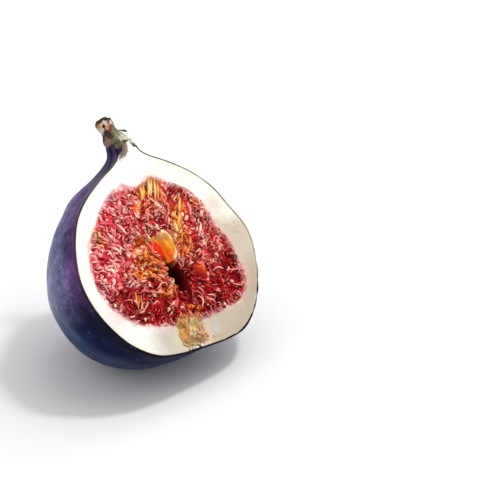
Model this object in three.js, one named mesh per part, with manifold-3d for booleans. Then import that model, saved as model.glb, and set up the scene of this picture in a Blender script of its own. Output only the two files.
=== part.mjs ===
// Half of a fresh fig, cut lengthwise beside its stem and lying on the back of its skin.
//
// It is modelled in the fig's own frame, in millimetres: X across the cut face, Y along the fig's axis from
// the eye to the stem, and Z out of the cut face, which is the plane Z = 0. The flesh lies below it. The axis
// runs AXIS_DEPTH behind the face, so the stem stays whole. A group then turns the half to how it rests.
import * as THREE from "three";
import { mergeVertices } from "three/addons/utils/BufferGeometryUtils.js";
import Module from "manifold-3d";

const wasm = await Module();
wasm.setup();

// ---------------------------------------------------------------- driving dimensions (mm, degrees)

const AXIS_DEPTH = 2.1; // the fig's axis behind the cut face
const BACK_FULLNESS = 1.06; // the body is this much deeper than it is wide
const SHOULDER_FULLNESS = 0.75; // and this much more so at the shoulder, under the neck
const SKIN_THICKNESS = 0.7;
const GAP = 0.3; // between pieces that touch

// The whole fruit's outline: [radius, height], from the eye to the top of the neck.
const BODY_OUTLINE = [
  [0, -21.6],
  [7, -21.5],
  [13.2, -20.4],
  [18.2, -17.2],
  [22.2, -12],
  [24.7, -6.2],
  [25.3, -0.8],
  [23.9, 5],
  [20.8, 11],
  [16.4, 15.6],
  [10.6, 19.3],
  [5.6, 21.9],
  [3.3, 24.4],
  [2.75, 26.6],
];
const NECK_TOP = BODY_OUTLINE.at(-1)[1];
const BODY_SHIFT = 0.4; // the body stands this far to the right of the eye
const NECK_SHIFT = 2.4; // the neck stands this far to the right of the eye
const NECK_LEAN = 1.3; // and the stem's end this far further behind the face
const NECK_STARTS = 10;
const STEM_ENDS = 32.2;

// Where the pulp meets the white flesh on the cut face: [height, left edge, right edge].
const PULP_EDGE = [
  [-15.9, 0, 4],
  [-15, -6.3, 10.5],
  [-13, -13.3, 17.2],
  [-9.5, -18.1, 20],
  [-5, -20.7, 19.6],
  [0, -21.2, 18.4],
  [5, -19.2, 17.4],
  [9.5, -16.5, 16],
  [13, -12.6, 13],
  [16, -7.8, 8],
  [17.8, -3, 3.6],
];
const PULP_DEPTH = 22.6;
const PULP_FACE = -0.8; // the bed that the florets stand on

const HEART = { x: 0.6, y: -2.4, across: 6.4, along: 7.6, depth: 8.5, face: -0.8 };
const HOLLOW = { x: 1.9, y: -4.9, across: 1.7, along: 4.1, depth: 6.6 };
// [height, radius] of the way in from the eye, which its bracts fill
const EYE_CHANNEL = [
  [-23, 2.5],
  [-20, 2.7],
  [-17, 3.4],
  [-13.6, 4.1],
];

// The knife turned a little at the thick side of the wall, below a crease.
const SECOND_CUT = { x: 15.8, crease: 7.2, turn: 5, rise: -14 };

// How the half rests: the cut face leans back, the fig is rolled in it, and the skin gives way underneath.
const FACE_ELEVATION = 41;
const FACE_ROLL = 11;
const SETTLE = 1.4; // how far the skin is pressed in at its lowest point
const SETTLE_ROUNDING = 0.35;

const FINEST_EDGE = 0.03; // anything smaller is smoothed away
const SEED = 20;

// ---------------------------------------------------------------- helpers

const radians = THREE.MathUtils.degToRad;
const { clamp, lerp, smoothstep } = THREE.MathUtils;

/** A repeatable random number from 0 to 1. */
function random(seed) {
  let state = seed;
  return () => {
    state = (state + 0x6d2b79f5) | 0;
    let t = Math.imul(state ^ (state >>> 15), 1 | state);
    t = (t + Math.imul(t ^ (t >>> 7), 61 | t)) ^ t;
    return ((t ^ (t >>> 14)) >>> 0) / 4294967296;
  };
}

/** A closed three.js geometry as a manifold-3d solid. */
function solid(geometry) {
  const bare = geometry.clone();
  bare.deleteAttribute("normal");
  bare.deleteAttribute("uv");
  const merged = mergeVertices(bare, 1e-4);
  return new wasm.Manifold(
    new wasm.Mesh({
      numProp: 3,
      vertProperties: new Float32Array(merged.attributes.position.array),
      triVerts: new Uint32Array(merged.index.array),
    }),
  );
}

/** A manifold-3d solid as a named three.js mesh. */
function meshOf(name, made, material) {
  const { numProp, numVert, vertProperties, triVerts } = made.getMesh();
  const position = new Float32Array(numVert * 3);
  for (let i = 0; i < numVert; i++) {
    position.set(vertProperties.subarray(i * numProp, i * numProp + 3), i * 3);
  }
  const geometry = new THREE.BufferGeometry();
  geometry.setAttribute("position", new THREE.BufferAttribute(position, 3));
  geometry.setIndex(new THREE.BufferAttribute(triVerts, 1));
  geometry.computeVertexNormals();
  const mesh = new THREE.Mesh(geometry, material);
  mesh.name = name;
  return mesh;
}

/** A smooth curve through [x, y] rows, sampled evenly into count + 1 points. */
function smooth(rows, count) {
  const points = rows.map(([x, y]) => new THREE.Vector3(x, y, 0));
  return new THREE.CatmullRomCurve3(points, false, "centripetal").getSpacedPoints(count);
}

/** A point of a ring, an ellipse { y, x, z, across, depth }, made wider or narrower by a share. */
function ringPoint({ y, x, z, across, depth }, angle, share) {
  return new THREE.Vector3(x + across * share * Math.cos(angle), y, z + depth * share * Math.sin(angle));
}

/**
 * A closed solid through rings stacked along Y. swell(angle, y) may make a ring wider or narrower, and move
 * may shift a point. The two ends close on a point in their own plane.
 */
function loft(rings, sides, swell = () => 1, move = (p) => p) {
  const position = [];
  const index = [];
  rings.forEach((ring) => {
    for (let i = 0; i < sides; i++) {
      const angle = (i / sides) * 2 * Math.PI;
      position.push(...move(ringPoint(ring, angle, swell(angle, ring.y))).toArray());
    }
  });
  const last = rings.length - 1;
  [rings[0], rings[last]].forEach((ring) => position.push(...move(ringPoint(ring, 0, 0)).toArray()));
  const [low, high] = [rings.length * sides, rings.length * sides + 1];
  for (let i = 0; i < sides; i++) {
    const next = (i + 1) % sides;
    index.push(low, i, next);
    index.push(high, last * sides + next, last * sides + i);
    for (let r = 0; r < last; r++) {
      const [a, b, c, d] = [r * sides + i, r * sides + next, (r + 1) * sides + i, (r + 1) * sides + next];
      index.push(a, d, b, a, c, d);
    }
  }
  const geometry = new THREE.BufferGeometry();
  geometry.setAttribute("position", new THREE.Float32BufferAttribute(position, 3));
  geometry.setIndex(index);
  return solid(geometry);
}

/** The one main body of a solid, with any pockets shut in between its florets filled. */
function wholeBody(made) {
  const bodies = made.simplify(FINEST_EDGE).decompose();
  return bodies.sort((a, b) => b.volume() - a.volume())[0];
}

/** A ball, an ellipsoid or a drop's coarse form, as a solid. */
function lump(centre, size, turn = new THREE.Quaternion(), detail = 0) {
  const geometry = new THREE.IcosahedronGeometry(1, detail);
  geometry.applyMatrix4(new THREE.Matrix4().compose(centre, turn, size));
  return solid(geometry);
}

/** Everything above height z, as a solid that cuts. */
function above(z) {
  const reach = 90;
  return solid(new THREE.BoxGeometry(reach, reach, reach).translate(0, 0, z + reach / 2));
}

/** Everything that the knife took off: all above the face, and the sliver of its second cut. */
function cutAway() {
  const reach = 60;
  const sliver = new THREE.BoxGeometry(reach, reach, reach).translate(reach / 2, -reach / 2, reach / 2);
  sliver.rotateY(radians(SECOND_CUT.turn));
  sliver.rotateZ(radians(SECOND_CUT.rise));
  sliver.translate(SECOND_CUT.x, SECOND_CUT.crease, 0);
  return above(0).add(solid(sliver));
}

/** The turn that takes +Y to a direction. */
function towards(direction) {
  return new THREE.Quaternion().setFromUnitVectors(new THREE.Vector3(0, 1, 0), direction.clone().normalize());
}

// ---------------------------------------------------------------- how it rests

const lean = new THREE.Quaternion().setFromAxisAngle(new THREE.Vector3(1, 0, 0), radians(FACE_ELEVATION));
const roll = new THREE.Quaternion().setFromAxisAngle(new THREE.Vector3(0, 0, 1), radians(-FACE_ROLL));
// With the face upright, Y is up and Z points at the viewer, so a quarter turn about X comes first.
const upright = new THREE.Quaternion().setFromAxisAngle(new THREE.Vector3(1, 0, 0), Math.PI / 2);
const restTurn = lean.clone().invert().multiply(upright).multiply(roll);
const up = new THREE.Vector3(0, 0, 1).applyQuaternion(restTurn.clone().invert());

// ---------------------------------------------------------------- the fruit's own form

/** The middle of the fig at a height: it runs behind the face, and the neck bends right and back. */
function middle(y) {
  return {
    x: lerp(BODY_SHIFT, NECK_SHIFT, smoothstep(y, NECK_STARTS, 24)),
    z: -AXIS_DEPTH - NECK_LEAN * smoothstep(y, 20, STEM_ENDS),
  };
}

/** How much deeper than wide the body is at a height. */
function fullness(y) {
  return BACK_FULLNESS + SHOULDER_FULLNESS * smoothstep(y, 12, 23) * (1 - smoothstep(y, 23.5, 26.6));
}

/** Low ribs that run down from the neck and fade out over the shoulder. */
function ribs(angle, y) {
  const strength = 0.012 + 0.05 * smoothstep(y, 4, 24);
  return 1 + strength * (0.6 * Math.cos(9 * angle + 0.6) + 0.4 * Math.cos(14 * angle + 2));
}

/** The body's rings, all taken in by a depth, which gives the skin's inside and the flesh's outside. */
function bodyRings(count, depth, top) {
  return smooth(BODY_OUTLINE, count)
    .map(({ x: radius, y }) => {
      const inner = Math.max(radius - depth, 0.02);
      const height = y < -14 ? y + depth * smoothstep(-y, 14, 20) : y;
      return { y: height, ...middle(y), across: inner, depth: inner * fullness(y) };
    })
    .filter(({ y }, i, all) => i === 0 || y > all[0].y + 0.02)
    .map((ring, i, all) => (i === all.length - 1 ? { ...ring, y: top } : ring));
}

/** The lowest point of the body along the resting direction, before it settles. */
function lowest() {
  let least = Infinity;
  bodyRings(90, 0, NECK_TOP).forEach((ring) => {
    for (let angle = 0; angle < 2 * Math.PI; angle += 0.02) {
      const point = ringPoint(ring, angle, ribs(angle, ring.y));
      if (point.z < 0) least = Math.min(least, point.dot(up));
    }
  });
  return least;
}

const floorLevel = lowest() + SETTLE;

/** Presses a point up where it would lie closer to the floor than its own depth under the skin. */
function settled(depth) {
  return (point) => {
    const height = point.dot(up) - floorLevel - depth;
    const rounded = clamp((height + SETTLE_ROUNDING) / (2 * SETTLE_ROUNDING), 0, 1);
    const raised = height > SETTLE_ROUNDING ? height : SETTLE_ROUNDING * rounded * rounded;
    return point.clone().addScaledVector(up, raised - height);
  };
}

// ---------------------------------------------------------------- pieces

function eyeChannel(grow) {
  const rings = smooth(EYE_CHANNEL.map(([y, radius]) => [radius, y]), 6)
    .map(({ x: radius, y }) => ({ y, x: 0, z: -AXIS_DEPTH, across: radius + grow, depth: radius + grow }));
  return loft(rings, 14);
}

function pulpHollow() {
  const [sides, count] = [38, 16];
  const left = smooth(PULP_EDGE.map(([y, edge]) => [edge, y]), count);
  const right = smooth(PULP_EDGE.map(([y, , edge]) => [edge, y]), count);
  const [bottom, top] = [PULP_EDGE[0][0], PULP_EDGE.at(-1)[0]];
  const rings = [];
  for (let i = 0; i <= count; i++) {
    const y = lerp(bottom, top, 0.5 - 0.5 * Math.cos((i / count) * Math.PI));
    const share = (y - bottom) / (top - bottom);
    const [a, b] = [edgeAt(left, y), edgeAt(right, y)];
    const depth = PULP_DEPTH * Math.sqrt(Math.max(1 - (2 * share - 1) ** 2, 0.02));
    rings.push({ y, x: (a + b) / 2, z: 0, across: (b - a) / 2, depth });
  }
  return loft(rings, sides);
}

/** The room that the pulp fills, which clears the flesh all round. */
function pulpRoom() {
  const [x, y] = [-1, (PULP_EDGE[0][0] + PULP_EDGE.at(-1)[0]) / 2];
  return pulpHollow().translate(-x, -y, 0).scale(1 - GAP / 14).translate(x, y, 0);
}

/** The x of a sampled edge at a height. */
function edgeAt(points, y) {
  const next = points.findIndex((p) => p.y >= y);
  if (next < 1) return points[next < 0 ? points.length - 1 : 0].x;
  const [a, b] = [points[next - 1], points[next]];
  return lerp(a.x, b.x, (y - a.y) / (b.y - a.y));
}

function skin() {
  const outside = loft(bodyRings(30, 0, NECK_TOP), 56, ribs, settled(0));
  const inside = loft(bodyRings(26, SKIN_THICKNESS, NECK_TOP + 1), 44, ribs, settled(SKIN_THICKNESS));
  return outside.subtract(inside).subtract(cutAway()).subtract(eyeChannel(0));
}

function flesh() {
  const depth = SKIN_THICKNESS + GAP;
  const outside = loft(bodyRings(26, depth, NECK_TOP), 44, ribs, settled(depth));
  return outside.subtract(pulpHollow()).subtract(cutAway()).subtract(eyeChannel(0));
}

/** Whether a point of the cut face lies in an ellipse, grown by a margin. */
function within({ x, y, across, along }, px, py, margin) {
  return ((px - x) / (across + margin)) ** 2 + ((py - y) / (along + margin)) ** 2 < 1;
}

/** A floret's coarse form: a drop lying towards the hollow, its tip lifted out of the bed. */
function floret(x, y, bed, { length, width, swing, lift }) {
  const inwards = Math.atan2(HOLLOW.y - y, HOLLOW.x - x) + swing;
  const direction = new THREE.Vector3(Math.cos(inwards), Math.sin(inwards), Math.tan(lift));
  const centre = new THREE.Vector3(x, y, bed + 0.3 * width);
  return lump(centre, new THREE.Vector3(width / 2, length / 2, width / 2), towards(direction));
}

/** Florets on a jittered triangular grid over the cut face, kept where a test says so. */
function florets(step, keep, make, seed) {
  const next = random(seed);
  const made = [];
  const reach = 24;
  let row = 0;
  for (let y = -reach; y < reach; y += step * 0.866) {
    for (let x = -reach + (row % 2) * step * 0.5; x < reach; x += step) {
      const px = x + (next() - 0.5) * step * 0.6;
      const py = y + (next() - 0.5) * step * 0.6;
      const drawn = [next(), next(), next()];
      if (keep(px, py)) made.push(make(px, py, drawn));
    }
    row += 1;
  }
  return made;
}

function pulp() {
  const bed = pulpRoom().subtract(above(PULP_FACE));
  const edgeLeft = smooth(PULP_EDGE.map(([y, edge]) => [edge, y]), 40);
  const edgeRight = smooth(PULP_EDGE.map(([y, , edge]) => [edge, y]), 40);
  const keep = (x, y) =>
    y > PULP_EDGE[0][0] + 1 &&
    y < PULP_EDGE.at(-1)[0] - 1 &&
    x > edgeAt(edgeLeft, y) + 0.7 &&
    x < edgeAt(edgeRight, y) - 0.7 &&
    !within(HEART, x, y, 0.9);
  const make = (x, y, [a, b, c]) =>
    floret(x, y, PULP_FACE, { length: 4.2 + 2 * a, width: 2.4 + 0.5 * b, swing: (c - 0.5) * 1.3, lift: 0.2 + 0.25 * b });
  const heartSeat = lump(
    new THREE.Vector3(HEART.x, HEART.y, 0),
    new THREE.Vector3(HEART.across + GAP, HEART.along + GAP, HEART.depth + GAP),
    undefined,
    2,
  );
  return wasm.Manifold.union([bed, ...florets(2.85, keep, make, SEED)])
    .intersect(pulpRoom().add(pulpTop()))
    .subtract(heartSeat)
    .subtract(eyeChannel(GAP));
}

/** The room above the cut face, inside the pulp's edge, that the florets may stand up into. */
function pulpTop() {
  const slab = pulpRoom().intersect(solid(new THREE.BoxGeometry(90, 90, 0.4)));
  return slab.translate(0, 0, 0.2).add(slab.translate(0, 0, 0.5));
}

function heart() {
  const size = new THREE.Vector3(HEART.across, HEART.along, HEART.depth);
  const bowl = lump(new THREE.Vector3(HEART.x, HEART.y, 0), size, undefined, 2);
  const bed = bowl.subtract(above(HEART.face));
  const keep = (x, y) => within(HEART, x, y, -0.8) && !within(HOLLOW, x, y, 0.3);
  const make = (x, y, [a, b, c]) =>
    floret(x, y, HEART.face, { length: 3 + 1.2 * a, width: 1.5 + 0.4 * b, swing: (c - 0.5) * 0.7, lift: 0.5 + 0.4 * a });
  const hollow = lump(
    new THREE.Vector3(HOLLOW.x, HOLLOW.y, 0),
    new THREE.Vector3(HOLLOW.across, HOLLOW.along, HOLLOW.depth),
    undefined,
    1,
  );
  const room = bowl.add(bowl.intersect(solid(new THREE.BoxGeometry(90, 90, 0.4))).translate(0, 0, 0.4));
  return wasm.Manifold.union([bed, ...florets(2.1, keep, make, SEED + 1)]).subtract(hollow).intersect(room);
}

/** The bracts that close the eye: thin scales laid in rows along the channel, fused where they overlap. */
function eyeBracts() {
  const next = random(SEED + 2);
  const core = eyeChannel(-0.9).subtract(above(-0.8)).intersect(above(-9));
  const scales = [];
  for (let y = -15.4; y > -22; y -= 1.6) {
    for (let x = -2.8; x <= 2.8; x += 1.4) {
      const direction = new THREE.Vector3(x * 0.16 + (next() - 0.5) * 0.3, -1, 0.25);
      const centre = new THREE.Vector3(x + (next() - 0.5) * 0.4, y, -0.75);
      scales.push(lump(centre, new THREE.Vector3(0.8, 1.8, 0.45), towards(direction)));
    }
  }
  const body = loft(bodyRings(26, 0, NECK_TOP), 44, ribs, settled(0));
  const made = wasm.Manifold.union([core, ...scales]);
  return made.intersect(eyeChannel(-GAP)).intersect(body).subtract(above(0));
}

function stem() {
  const [from, to] = [NECK_TOP + GAP, STEM_ENDS];
  const radii = smooth(
    [
      [2.5, from],
      [2.15, from + 1],
      [1.8, from + 2.4],
      [1.72, from + 3.6],
      [1.95, to - 0.9],
      [1.55, to],
    ],
    9,
  );
  const rings = radii.map(({ x: radius, y }) => ({ y, ...middle(y), across: radius, depth: radius }));
  const ridged = (angle, y) => 1 + 0.07 * Math.cos(5 * angle + 0.4) + 0.04 * Math.cos(11 * angle + y);
  const shaft = loft(rings, 20, ridged);
  const bracts = [0.4, 2.5, 4.6].map((angle) => {
    const out = new THREE.Vector3(Math.cos(angle), 0, Math.sin(angle));
    const { x, z } = middle(from);
    const centre = new THREE.Vector3(x, from + 0.75, z).addScaledVector(out, 1.9);
    const turn = towards(new THREE.Vector3(0, 1, 0).addScaledVector(out, -0.35));
    return lump(centre, new THREE.Vector3(0.95, 1.3, 0.6), turn, 1);
  });
  const aboveNeck = solid(new THREE.BoxGeometry(20, 20, 20).translate(0, from + 10, 0));
  return wasm.Manifold.union([shaft, ...bracts]).intersect(aboveNeck);
}

// ---------------------------------------------------------------- materials and assembly

const material = (color, roughness) => new THREE.MeshStandardMaterial({ color, roughness, metalness: 0 });

const half = new THREE.Group();
half.add(
  meshOf("skin", wholeBody(skin()), material(0x35305a, 0.5)),
  meshOf("flesh", wholeBody(flesh()), material(0xf1e6cf, 0.45)),
  meshOf("pulp_florets", wholeBody(pulp()), material(0xa3212b, 0.3)),
  meshOf("heart_florets", wholeBody(heart()), material(0xdc7a2e, 0.3)),
  meshOf("eye_bracts", wholeBody(eyeBracts()), material(0xc39a5a, 0.6)),
  meshOf("stem", wholeBody(stem()), material(0x746a48, 0.8)),
);
half.quaternion.copy(restTurn);
half.position.set(0, 0, -floorLevel);

// The origin is on the floor, under the middle of the half.
const fig = new THREE.Group();
fig.add(half);
fig.updateMatrixWorld(true);
const box = new THREE.Box3().setFromObject(fig, true);
half.position.x -= (box.min.x + box.max.x) / 2;
half.position.y -= (box.min.y + box.max.y) / 2;

export default fig;
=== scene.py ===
"""Half of a fresh fig, cut lengthwise beside its stem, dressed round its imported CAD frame.

Shapes are made in the fig's own frame, in millimetres, as in the CAD source: x across the cut face, y along
the fig's axis from the eye to the stem, and z out of the cut face, which is the plane z = 0. place() turns
them to the row's frame, in metres.
"""
import math

import bmesh
import bpy
import numpy as np
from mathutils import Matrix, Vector


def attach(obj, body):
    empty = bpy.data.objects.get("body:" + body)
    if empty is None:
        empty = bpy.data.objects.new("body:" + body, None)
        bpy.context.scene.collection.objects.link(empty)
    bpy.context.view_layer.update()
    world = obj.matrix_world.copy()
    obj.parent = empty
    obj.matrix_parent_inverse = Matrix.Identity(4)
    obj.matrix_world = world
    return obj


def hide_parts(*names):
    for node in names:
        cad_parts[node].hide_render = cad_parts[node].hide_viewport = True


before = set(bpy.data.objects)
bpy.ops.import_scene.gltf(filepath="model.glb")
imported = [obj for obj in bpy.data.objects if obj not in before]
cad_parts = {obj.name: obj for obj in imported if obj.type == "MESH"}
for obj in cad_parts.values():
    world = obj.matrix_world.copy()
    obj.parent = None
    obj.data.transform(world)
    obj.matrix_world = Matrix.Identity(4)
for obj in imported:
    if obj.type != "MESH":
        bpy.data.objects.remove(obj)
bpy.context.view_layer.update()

# ---------------------------------------------------------------- the fig's form, in mm

AXIS_DEPTH = 2.1  # the fig's axis behind the cut face
BACK_FULLNESS = 1.05  # the body is this much deeper than it is wide
SHOULDER_FULLNESS = 0.4  # and this much more so at the shoulder, under the neck
SHOULDER_BULGE = 0.2  # the left of the shoulder swells by this share
BASE_BULGE = 0.036  # and the left of the base by this
BULGE_ANGLES = (176, 256)  # in degrees round the axis, from the right of the face
BODY_OUTLINE = [  # radius and height, from the eye to the top of the neck
    (0, -21.6), (7, -21.5), (13.2, -20.4), (18.2, -17.2), (22.2, -12), (24.7, -6.2), (25.3, -0.8),
    (23.9, 5), (20.8, 11), (16.4, 15.6), (10.6, 19.3), (5.6, 21.9), (3.3, 24.4), (2.75, 26.6),
]
NECK_TOP = 26.6
STEM_ENDS = 32.2
BODY_SHIFT = 0.4  # how far the axis stands to the right in the body
NECK_SHIFT = 2.4  # and in the neck
NECK_LEAN = 1.3  # how far the stem leans back
NECK_STARTS = 12

PULP_EDGE = [  # height, left edge, right edge, where the pulp meets the white flesh
    (-15.9, 0, 4),
    (-15, -6.3, 11.8),
    (-13, -13.3, 17.7),
    (-9.5, -18.1, 20.1),
    (-5, -20.8, 20),
    (0, -21.1, 19.3),
    (2.5, -20.5, 17.5),
    (5, -19.4, 16.8),
    (9.5, -16.3, 15.8),
    (13, -12.3, 12.6),
    (15.4, -8.4, 9),
    (17.3, -3.6, 5.6),
]
PULP_NOTCH = (-0.1, 18.5)  # the white flesh reaches down here between two tufts of florets
PULP_NOTCH_SIZE = (3.3, 2.5)
SECOND_CUT = {"x": 15.8, "crease": 6.0, "turn": 5, "rise": -14}  # the facet at the thick side of the wall
HEART = (0.6, -2.4)  # the middle of the orange florets
HEART_SIZE = (6.4, 7.6)
HOLLOW = (1.5, -4.7)  # the dark hollow in them
HOLLOW_SIZE = (1.65, 3.9)
HOLLOW_LEAN = 0.2
HOLLOW_DEPTH = 3.4
EYE = (-1.0, -17.5)  # the cut bracts of the eye
EYE_SIZE = (4.4, 4.6)
WOODY = (0.9, 24.6)  # the brown woody tissue where the cut runs into the neck
WOODY_SIZE = (1.25, 2.1)
WOODY_LEAN = 0.55

FACE_ELEVATION = 41  # degrees that the cut face looks up
FACE_ROLL = 11  # degrees that the fig is rolled in its face
FIG_ORIGIN = (-0.217, -6.532, 25.807)  # where the fig's own origin stands in the row's frame
SETTLE_ROUNDING = 0.35  # the flat place underneath has an edge this soft

SKIN_THICKNESS = 0.32
BED_DEPTH = 0.95  # the florets' bed lies this far behind the face

# The camera, in degrees and metres.
VIEW_AZIMUTH = -51.7
VIEW_ELEVATION = 30
VIEW_DISTANCE = 0.8
VIEW_LENS = 269.2
FRAME_PIXELS = 500
ORIGIN_PIXEL = (165, 255)  # where the fig's own origin lies in the frame
PIXEL = 0.05 / 233.3  # metres a pixel

MM = 0.001  # object coordinates are metres, so a noise of scale 1 / MM has lumps of about a millimetre

rng = np.random.default_rng(20)

# ---------------------------------------------------------------- numbers


def smoothstep(value, low, high):
    """0 where a value is low, softly up to 1 where it is high."""
    t = np.clip((np.asarray(value, float) - low) / (high - low), 0, 1)
    return t * t * (3 - 2 * t)


def fade(value, low, high):
    """1 where a value is low, down to 0 where it is high."""
    return 1 - smoothstep(value, low, high)


def hill(value, middle, width):
    """1 at the middle, falling softly to either side."""
    return np.exp(-(((value - middle) / width) ** 2))


def spot_at(x, y, centre, size):
    """1 at the centre of a soft round spot, falling to 0 outside it."""
    return np.exp(-(((x - centre[0]) / size[0]) ** 2) - ((y - centre[1]) / size[1]) ** 2)


def stack(*parts):
    """Numbers side by side as rows, such as x, y and z as points."""
    return np.stack(np.broadcast_arrays(*parts), axis=-1)


def mix(a, b, share):
    """a to b by a share, which may hold one number for each row. Either may be a web colour."""
    a, b = (colour(c) if isinstance(c, str) else np.asarray(c, float) for c in (a, b))
    share = np.asarray(share, float)
    if share.ndim and (a.ndim or b.ndim):
        share = share[..., None]
    return a * (1 - share) + b * share


def unit(rows):
    """Rows with a length of 1."""
    return rows / np.maximum(np.linalg.norm(rows, axis=-1, keepdims=True), 1e-9)


def colour(code):
    """A web colour as the linear numbers that Blender mixes."""
    srgb = np.array([int(code[i : i + 2], 16) / 255 for i in (1, 3, 5)])
    return np.where(srgb <= 0.04045, srgb / 12.92, ((srgb + 0.055) / 1.055) ** 2.4)


def lattice(cells, seed):
    """A repeatable random number from 0 to 1 for each whole-numbered cell."""
    h = cells[..., 0] * 374761393 + cells[..., 1] * 668265263
    h = h + cells[..., 2] * 1442695041 + seed * 1274126177
    h = (h ^ (h >> 13)) & 0xFFFFFFFF
    h = (h * 1103515245 + 12345) & 0xFFFFFFFF
    h = (h ^ (h >> 16)) & 0xFFFFFFFF
    h = (h * 1597334677) & 0xFFFFFFFF
    return (h ^ (h >> 15)) / 0xFFFFFFFF


def noise(points, size, seed, octaves=3):
    """Soft noise from -1 to 1 with lumps of a size in mm, and finer ones over them."""
    total = np.zeros(points.shape[:-1])
    strength = 1.0
    for octave in range(octaves):
        scaled = points / size * 2**octave + 100
        cell = np.floor(scaled).astype(np.int64)
        part = scaled - cell
        part = part * part * (3 - 2 * part)
        value = 0
        for corner in np.ndindex(2, 2, 2):
            weight = np.prod(np.where(corner, part, 1 - part), axis=-1)
            value = value + weight * lattice(cell + np.array(corner), seed + 17 * octave)
        total += strength * (2 * value - 1)
        strength *= 0.5
    return total / 1.6


def flat(x, y):
    """Points in the plane of the face, for noise."""
    return stack(x, y, 0.0)


def patchwork(distances, colours, least):
    """Colours blended by how near their patches are, and the sum of their weights."""
    weights, total = 0, 0
    for far, code in zip(distances, colours):
        weight = np.exp(-4 * far**2)[..., None] + least
        weights, total = weights + weight, total + weight * colour(code)
    return total / weights, weights


def face_grid(across, along, size):
    """The places of a fine square grid over part of the face."""
    return np.meshgrid(np.arange(*across, size), np.arange(*along, size))


def blotches(points, size, seed, low, high, octaves=3):
    """Noise as soft-edged blotches: 0 under low and 1 over high."""
    return smoothstep(noise(points, size, seed, octaves), low, high)


def smooth_curve(points, count):
    """Count + 1 evenly spaced points on a centripetal Catmull-Rom curve through the points."""
    p = np.array(points, float)
    p = np.vstack([2 * p[0] - p[1], p, 2 * p[-1] - p[-2]])
    dense = []
    for p0, p1, p2, p3 in zip(p[:-3], p[1:-2], p[2:-1], p[3:]):
        d0, d1, d2 = (np.linalg.norm(b - a) ** 0.5 for a, b in ((p0, p1), (p1, p2), (p2, p3)))
        start = ((p1 - p0) / d0 - (p2 - p0) / (d0 + d1) + (p2 - p1) / d1) * d1
        end = ((p2 - p1) / d1 - (p3 - p1) / (d1 + d2) + (p3 - p2) / d2) * d1
        t = np.linspace(0, 1, 40, endpoint=False)[:, None]
        dense.append(
            p1
            + start * t
            + (3 * (p2 - p1) - 2 * start - end) * t**2
            + (2 * (p1 - p2) + start + end) * t**3
        )
    dense = np.vstack([*dense, p[-2:-1]])
    length = np.r_[0, np.cumsum(np.linalg.norm(np.diff(dense, axis=0), axis=1))]
    even = np.linspace(0, length[-1], count + 1)
    return np.stack([np.interp(even, length, dense[:, i]) for i in range(dense.shape[1])], axis=1)


# ---------------------------------------------------------------- where the fig stands

tilt = math.radians(FACE_ELEVATION)
roll = math.radians(FACE_ROLL)
upwards = np.array([0, math.sin(tilt), math.cos(tilt)])
FACE_NORMAL = np.array([0, -math.cos(tilt), math.sin(tilt)])
ACROSS = math.cos(roll) * np.array([1, 0, 0]) - math.sin(roll) * upwards
ALONG = math.cos(roll) * upwards + math.sin(roll) * np.array([1, 0, 0])
TURN = np.stack([ACROSS, ALONG, FACE_NORMAL])


def place(points, depth=0.0):
    """Points from the fig's frame, in mm, to the row's, in metres, pressed up where they lie too low."""
    row = np.asarray(points, float) @ TURN + np.array(FIG_ORIGIN)
    height = row[..., 2] - depth
    rounded = np.clip((height + SETTLE_ROUNDING) / (2 * SETTLE_ROUNDING), 0, 1)
    row[..., 2] = np.where(height > SETTLE_ROUNDING, height, SETTLE_ROUNDING * rounded**2) + depth
    return row / 1000


# ---------------------------------------------------------------- the fruit's surfaces


def middle(y):
    """The x and z of the fig's axis at a height."""
    x = mix(BODY_SHIFT, NECK_SHIFT, smoothstep(y, NECK_STARTS, NECK_TOP))
    return x, -AXIS_DEPTH - NECK_LEAN * smoothstep(y, 20, STEM_ENDS)


def fullness(y):
    """How much deeper than wide the body is at a height."""
    return BACK_FULLNESS + SHOULDER_FULLNESS * smoothstep(y, 13, 22) * fade(y, 22, NECK_TOP)


def bulge(angle, y):
    """The share by which the left of the shoulder and of the base swell at an angle and a height."""
    start, end = (math.radians(a) for a in BULGE_ANGLES)
    turned = np.clip(np.mod(angle - start, 2 * math.pi) / (end - start), 0, 1)
    height = smoothstep(y, 16, 21) * fade(y, 21, 25)
    return (SHOULDER_BULGE * height + BASE_BULGE * hill(y, -13.5, 5.5)) * np.sin(math.pi * turned) ** 2


def ribs(angle, y):
    """Low ribs that run down from the neck and fade out over the shoulder, with its bulge and the hip."""
    strength = 0.012 + 0.05 * smoothstep(y, 4, 24) + 0.03 * smoothstep(y, 21, 25)
    fine = 0.014 * smoothstep(y, 14, 25) * np.cos(23 * angle + 1.2)
    right = np.maximum(np.cos(angle), 0) ** 2
    hip = 0.034 * right * hill(y, 6.6, 4.2)
    hip = hip + 0.17 * right * hill(y, 23.8, 1.5)
    wave = 0.6 * np.cos(9 * angle + 0.6) + 0.4 * np.cos(14 * angle + 2)
    return 1 + strength * wave + fine - hip + bulge(angle, y)


OUTLINE = smooth_curve(BODY_OUTLINE, 900)


def profile(depth):
    """The body's radius and height along its outline, taken in by a depth."""
    radius = np.maximum(OUTLINE[:, 0] - depth, 0.02)
    height = OUTLINE[:, 1] + depth * smoothstep(-OUTLINE[:, 1], 14, 20)
    return radius, np.maximum.accumulate(height + np.arange(len(height)) * 1e-7)


def off_second_cut(x, y):
    """How far a point lies beyond the hinge of the second cut, and below its crease, in mm."""
    rise = math.radians(SECOND_CUT["rise"])
    dx, dy = x - SECOND_CUT["x"], y - SECOND_CUT["crease"]
    return dx * math.cos(rise) + dy * math.sin(rise), dx * math.sin(rise) - dy * math.cos(rise)


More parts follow.
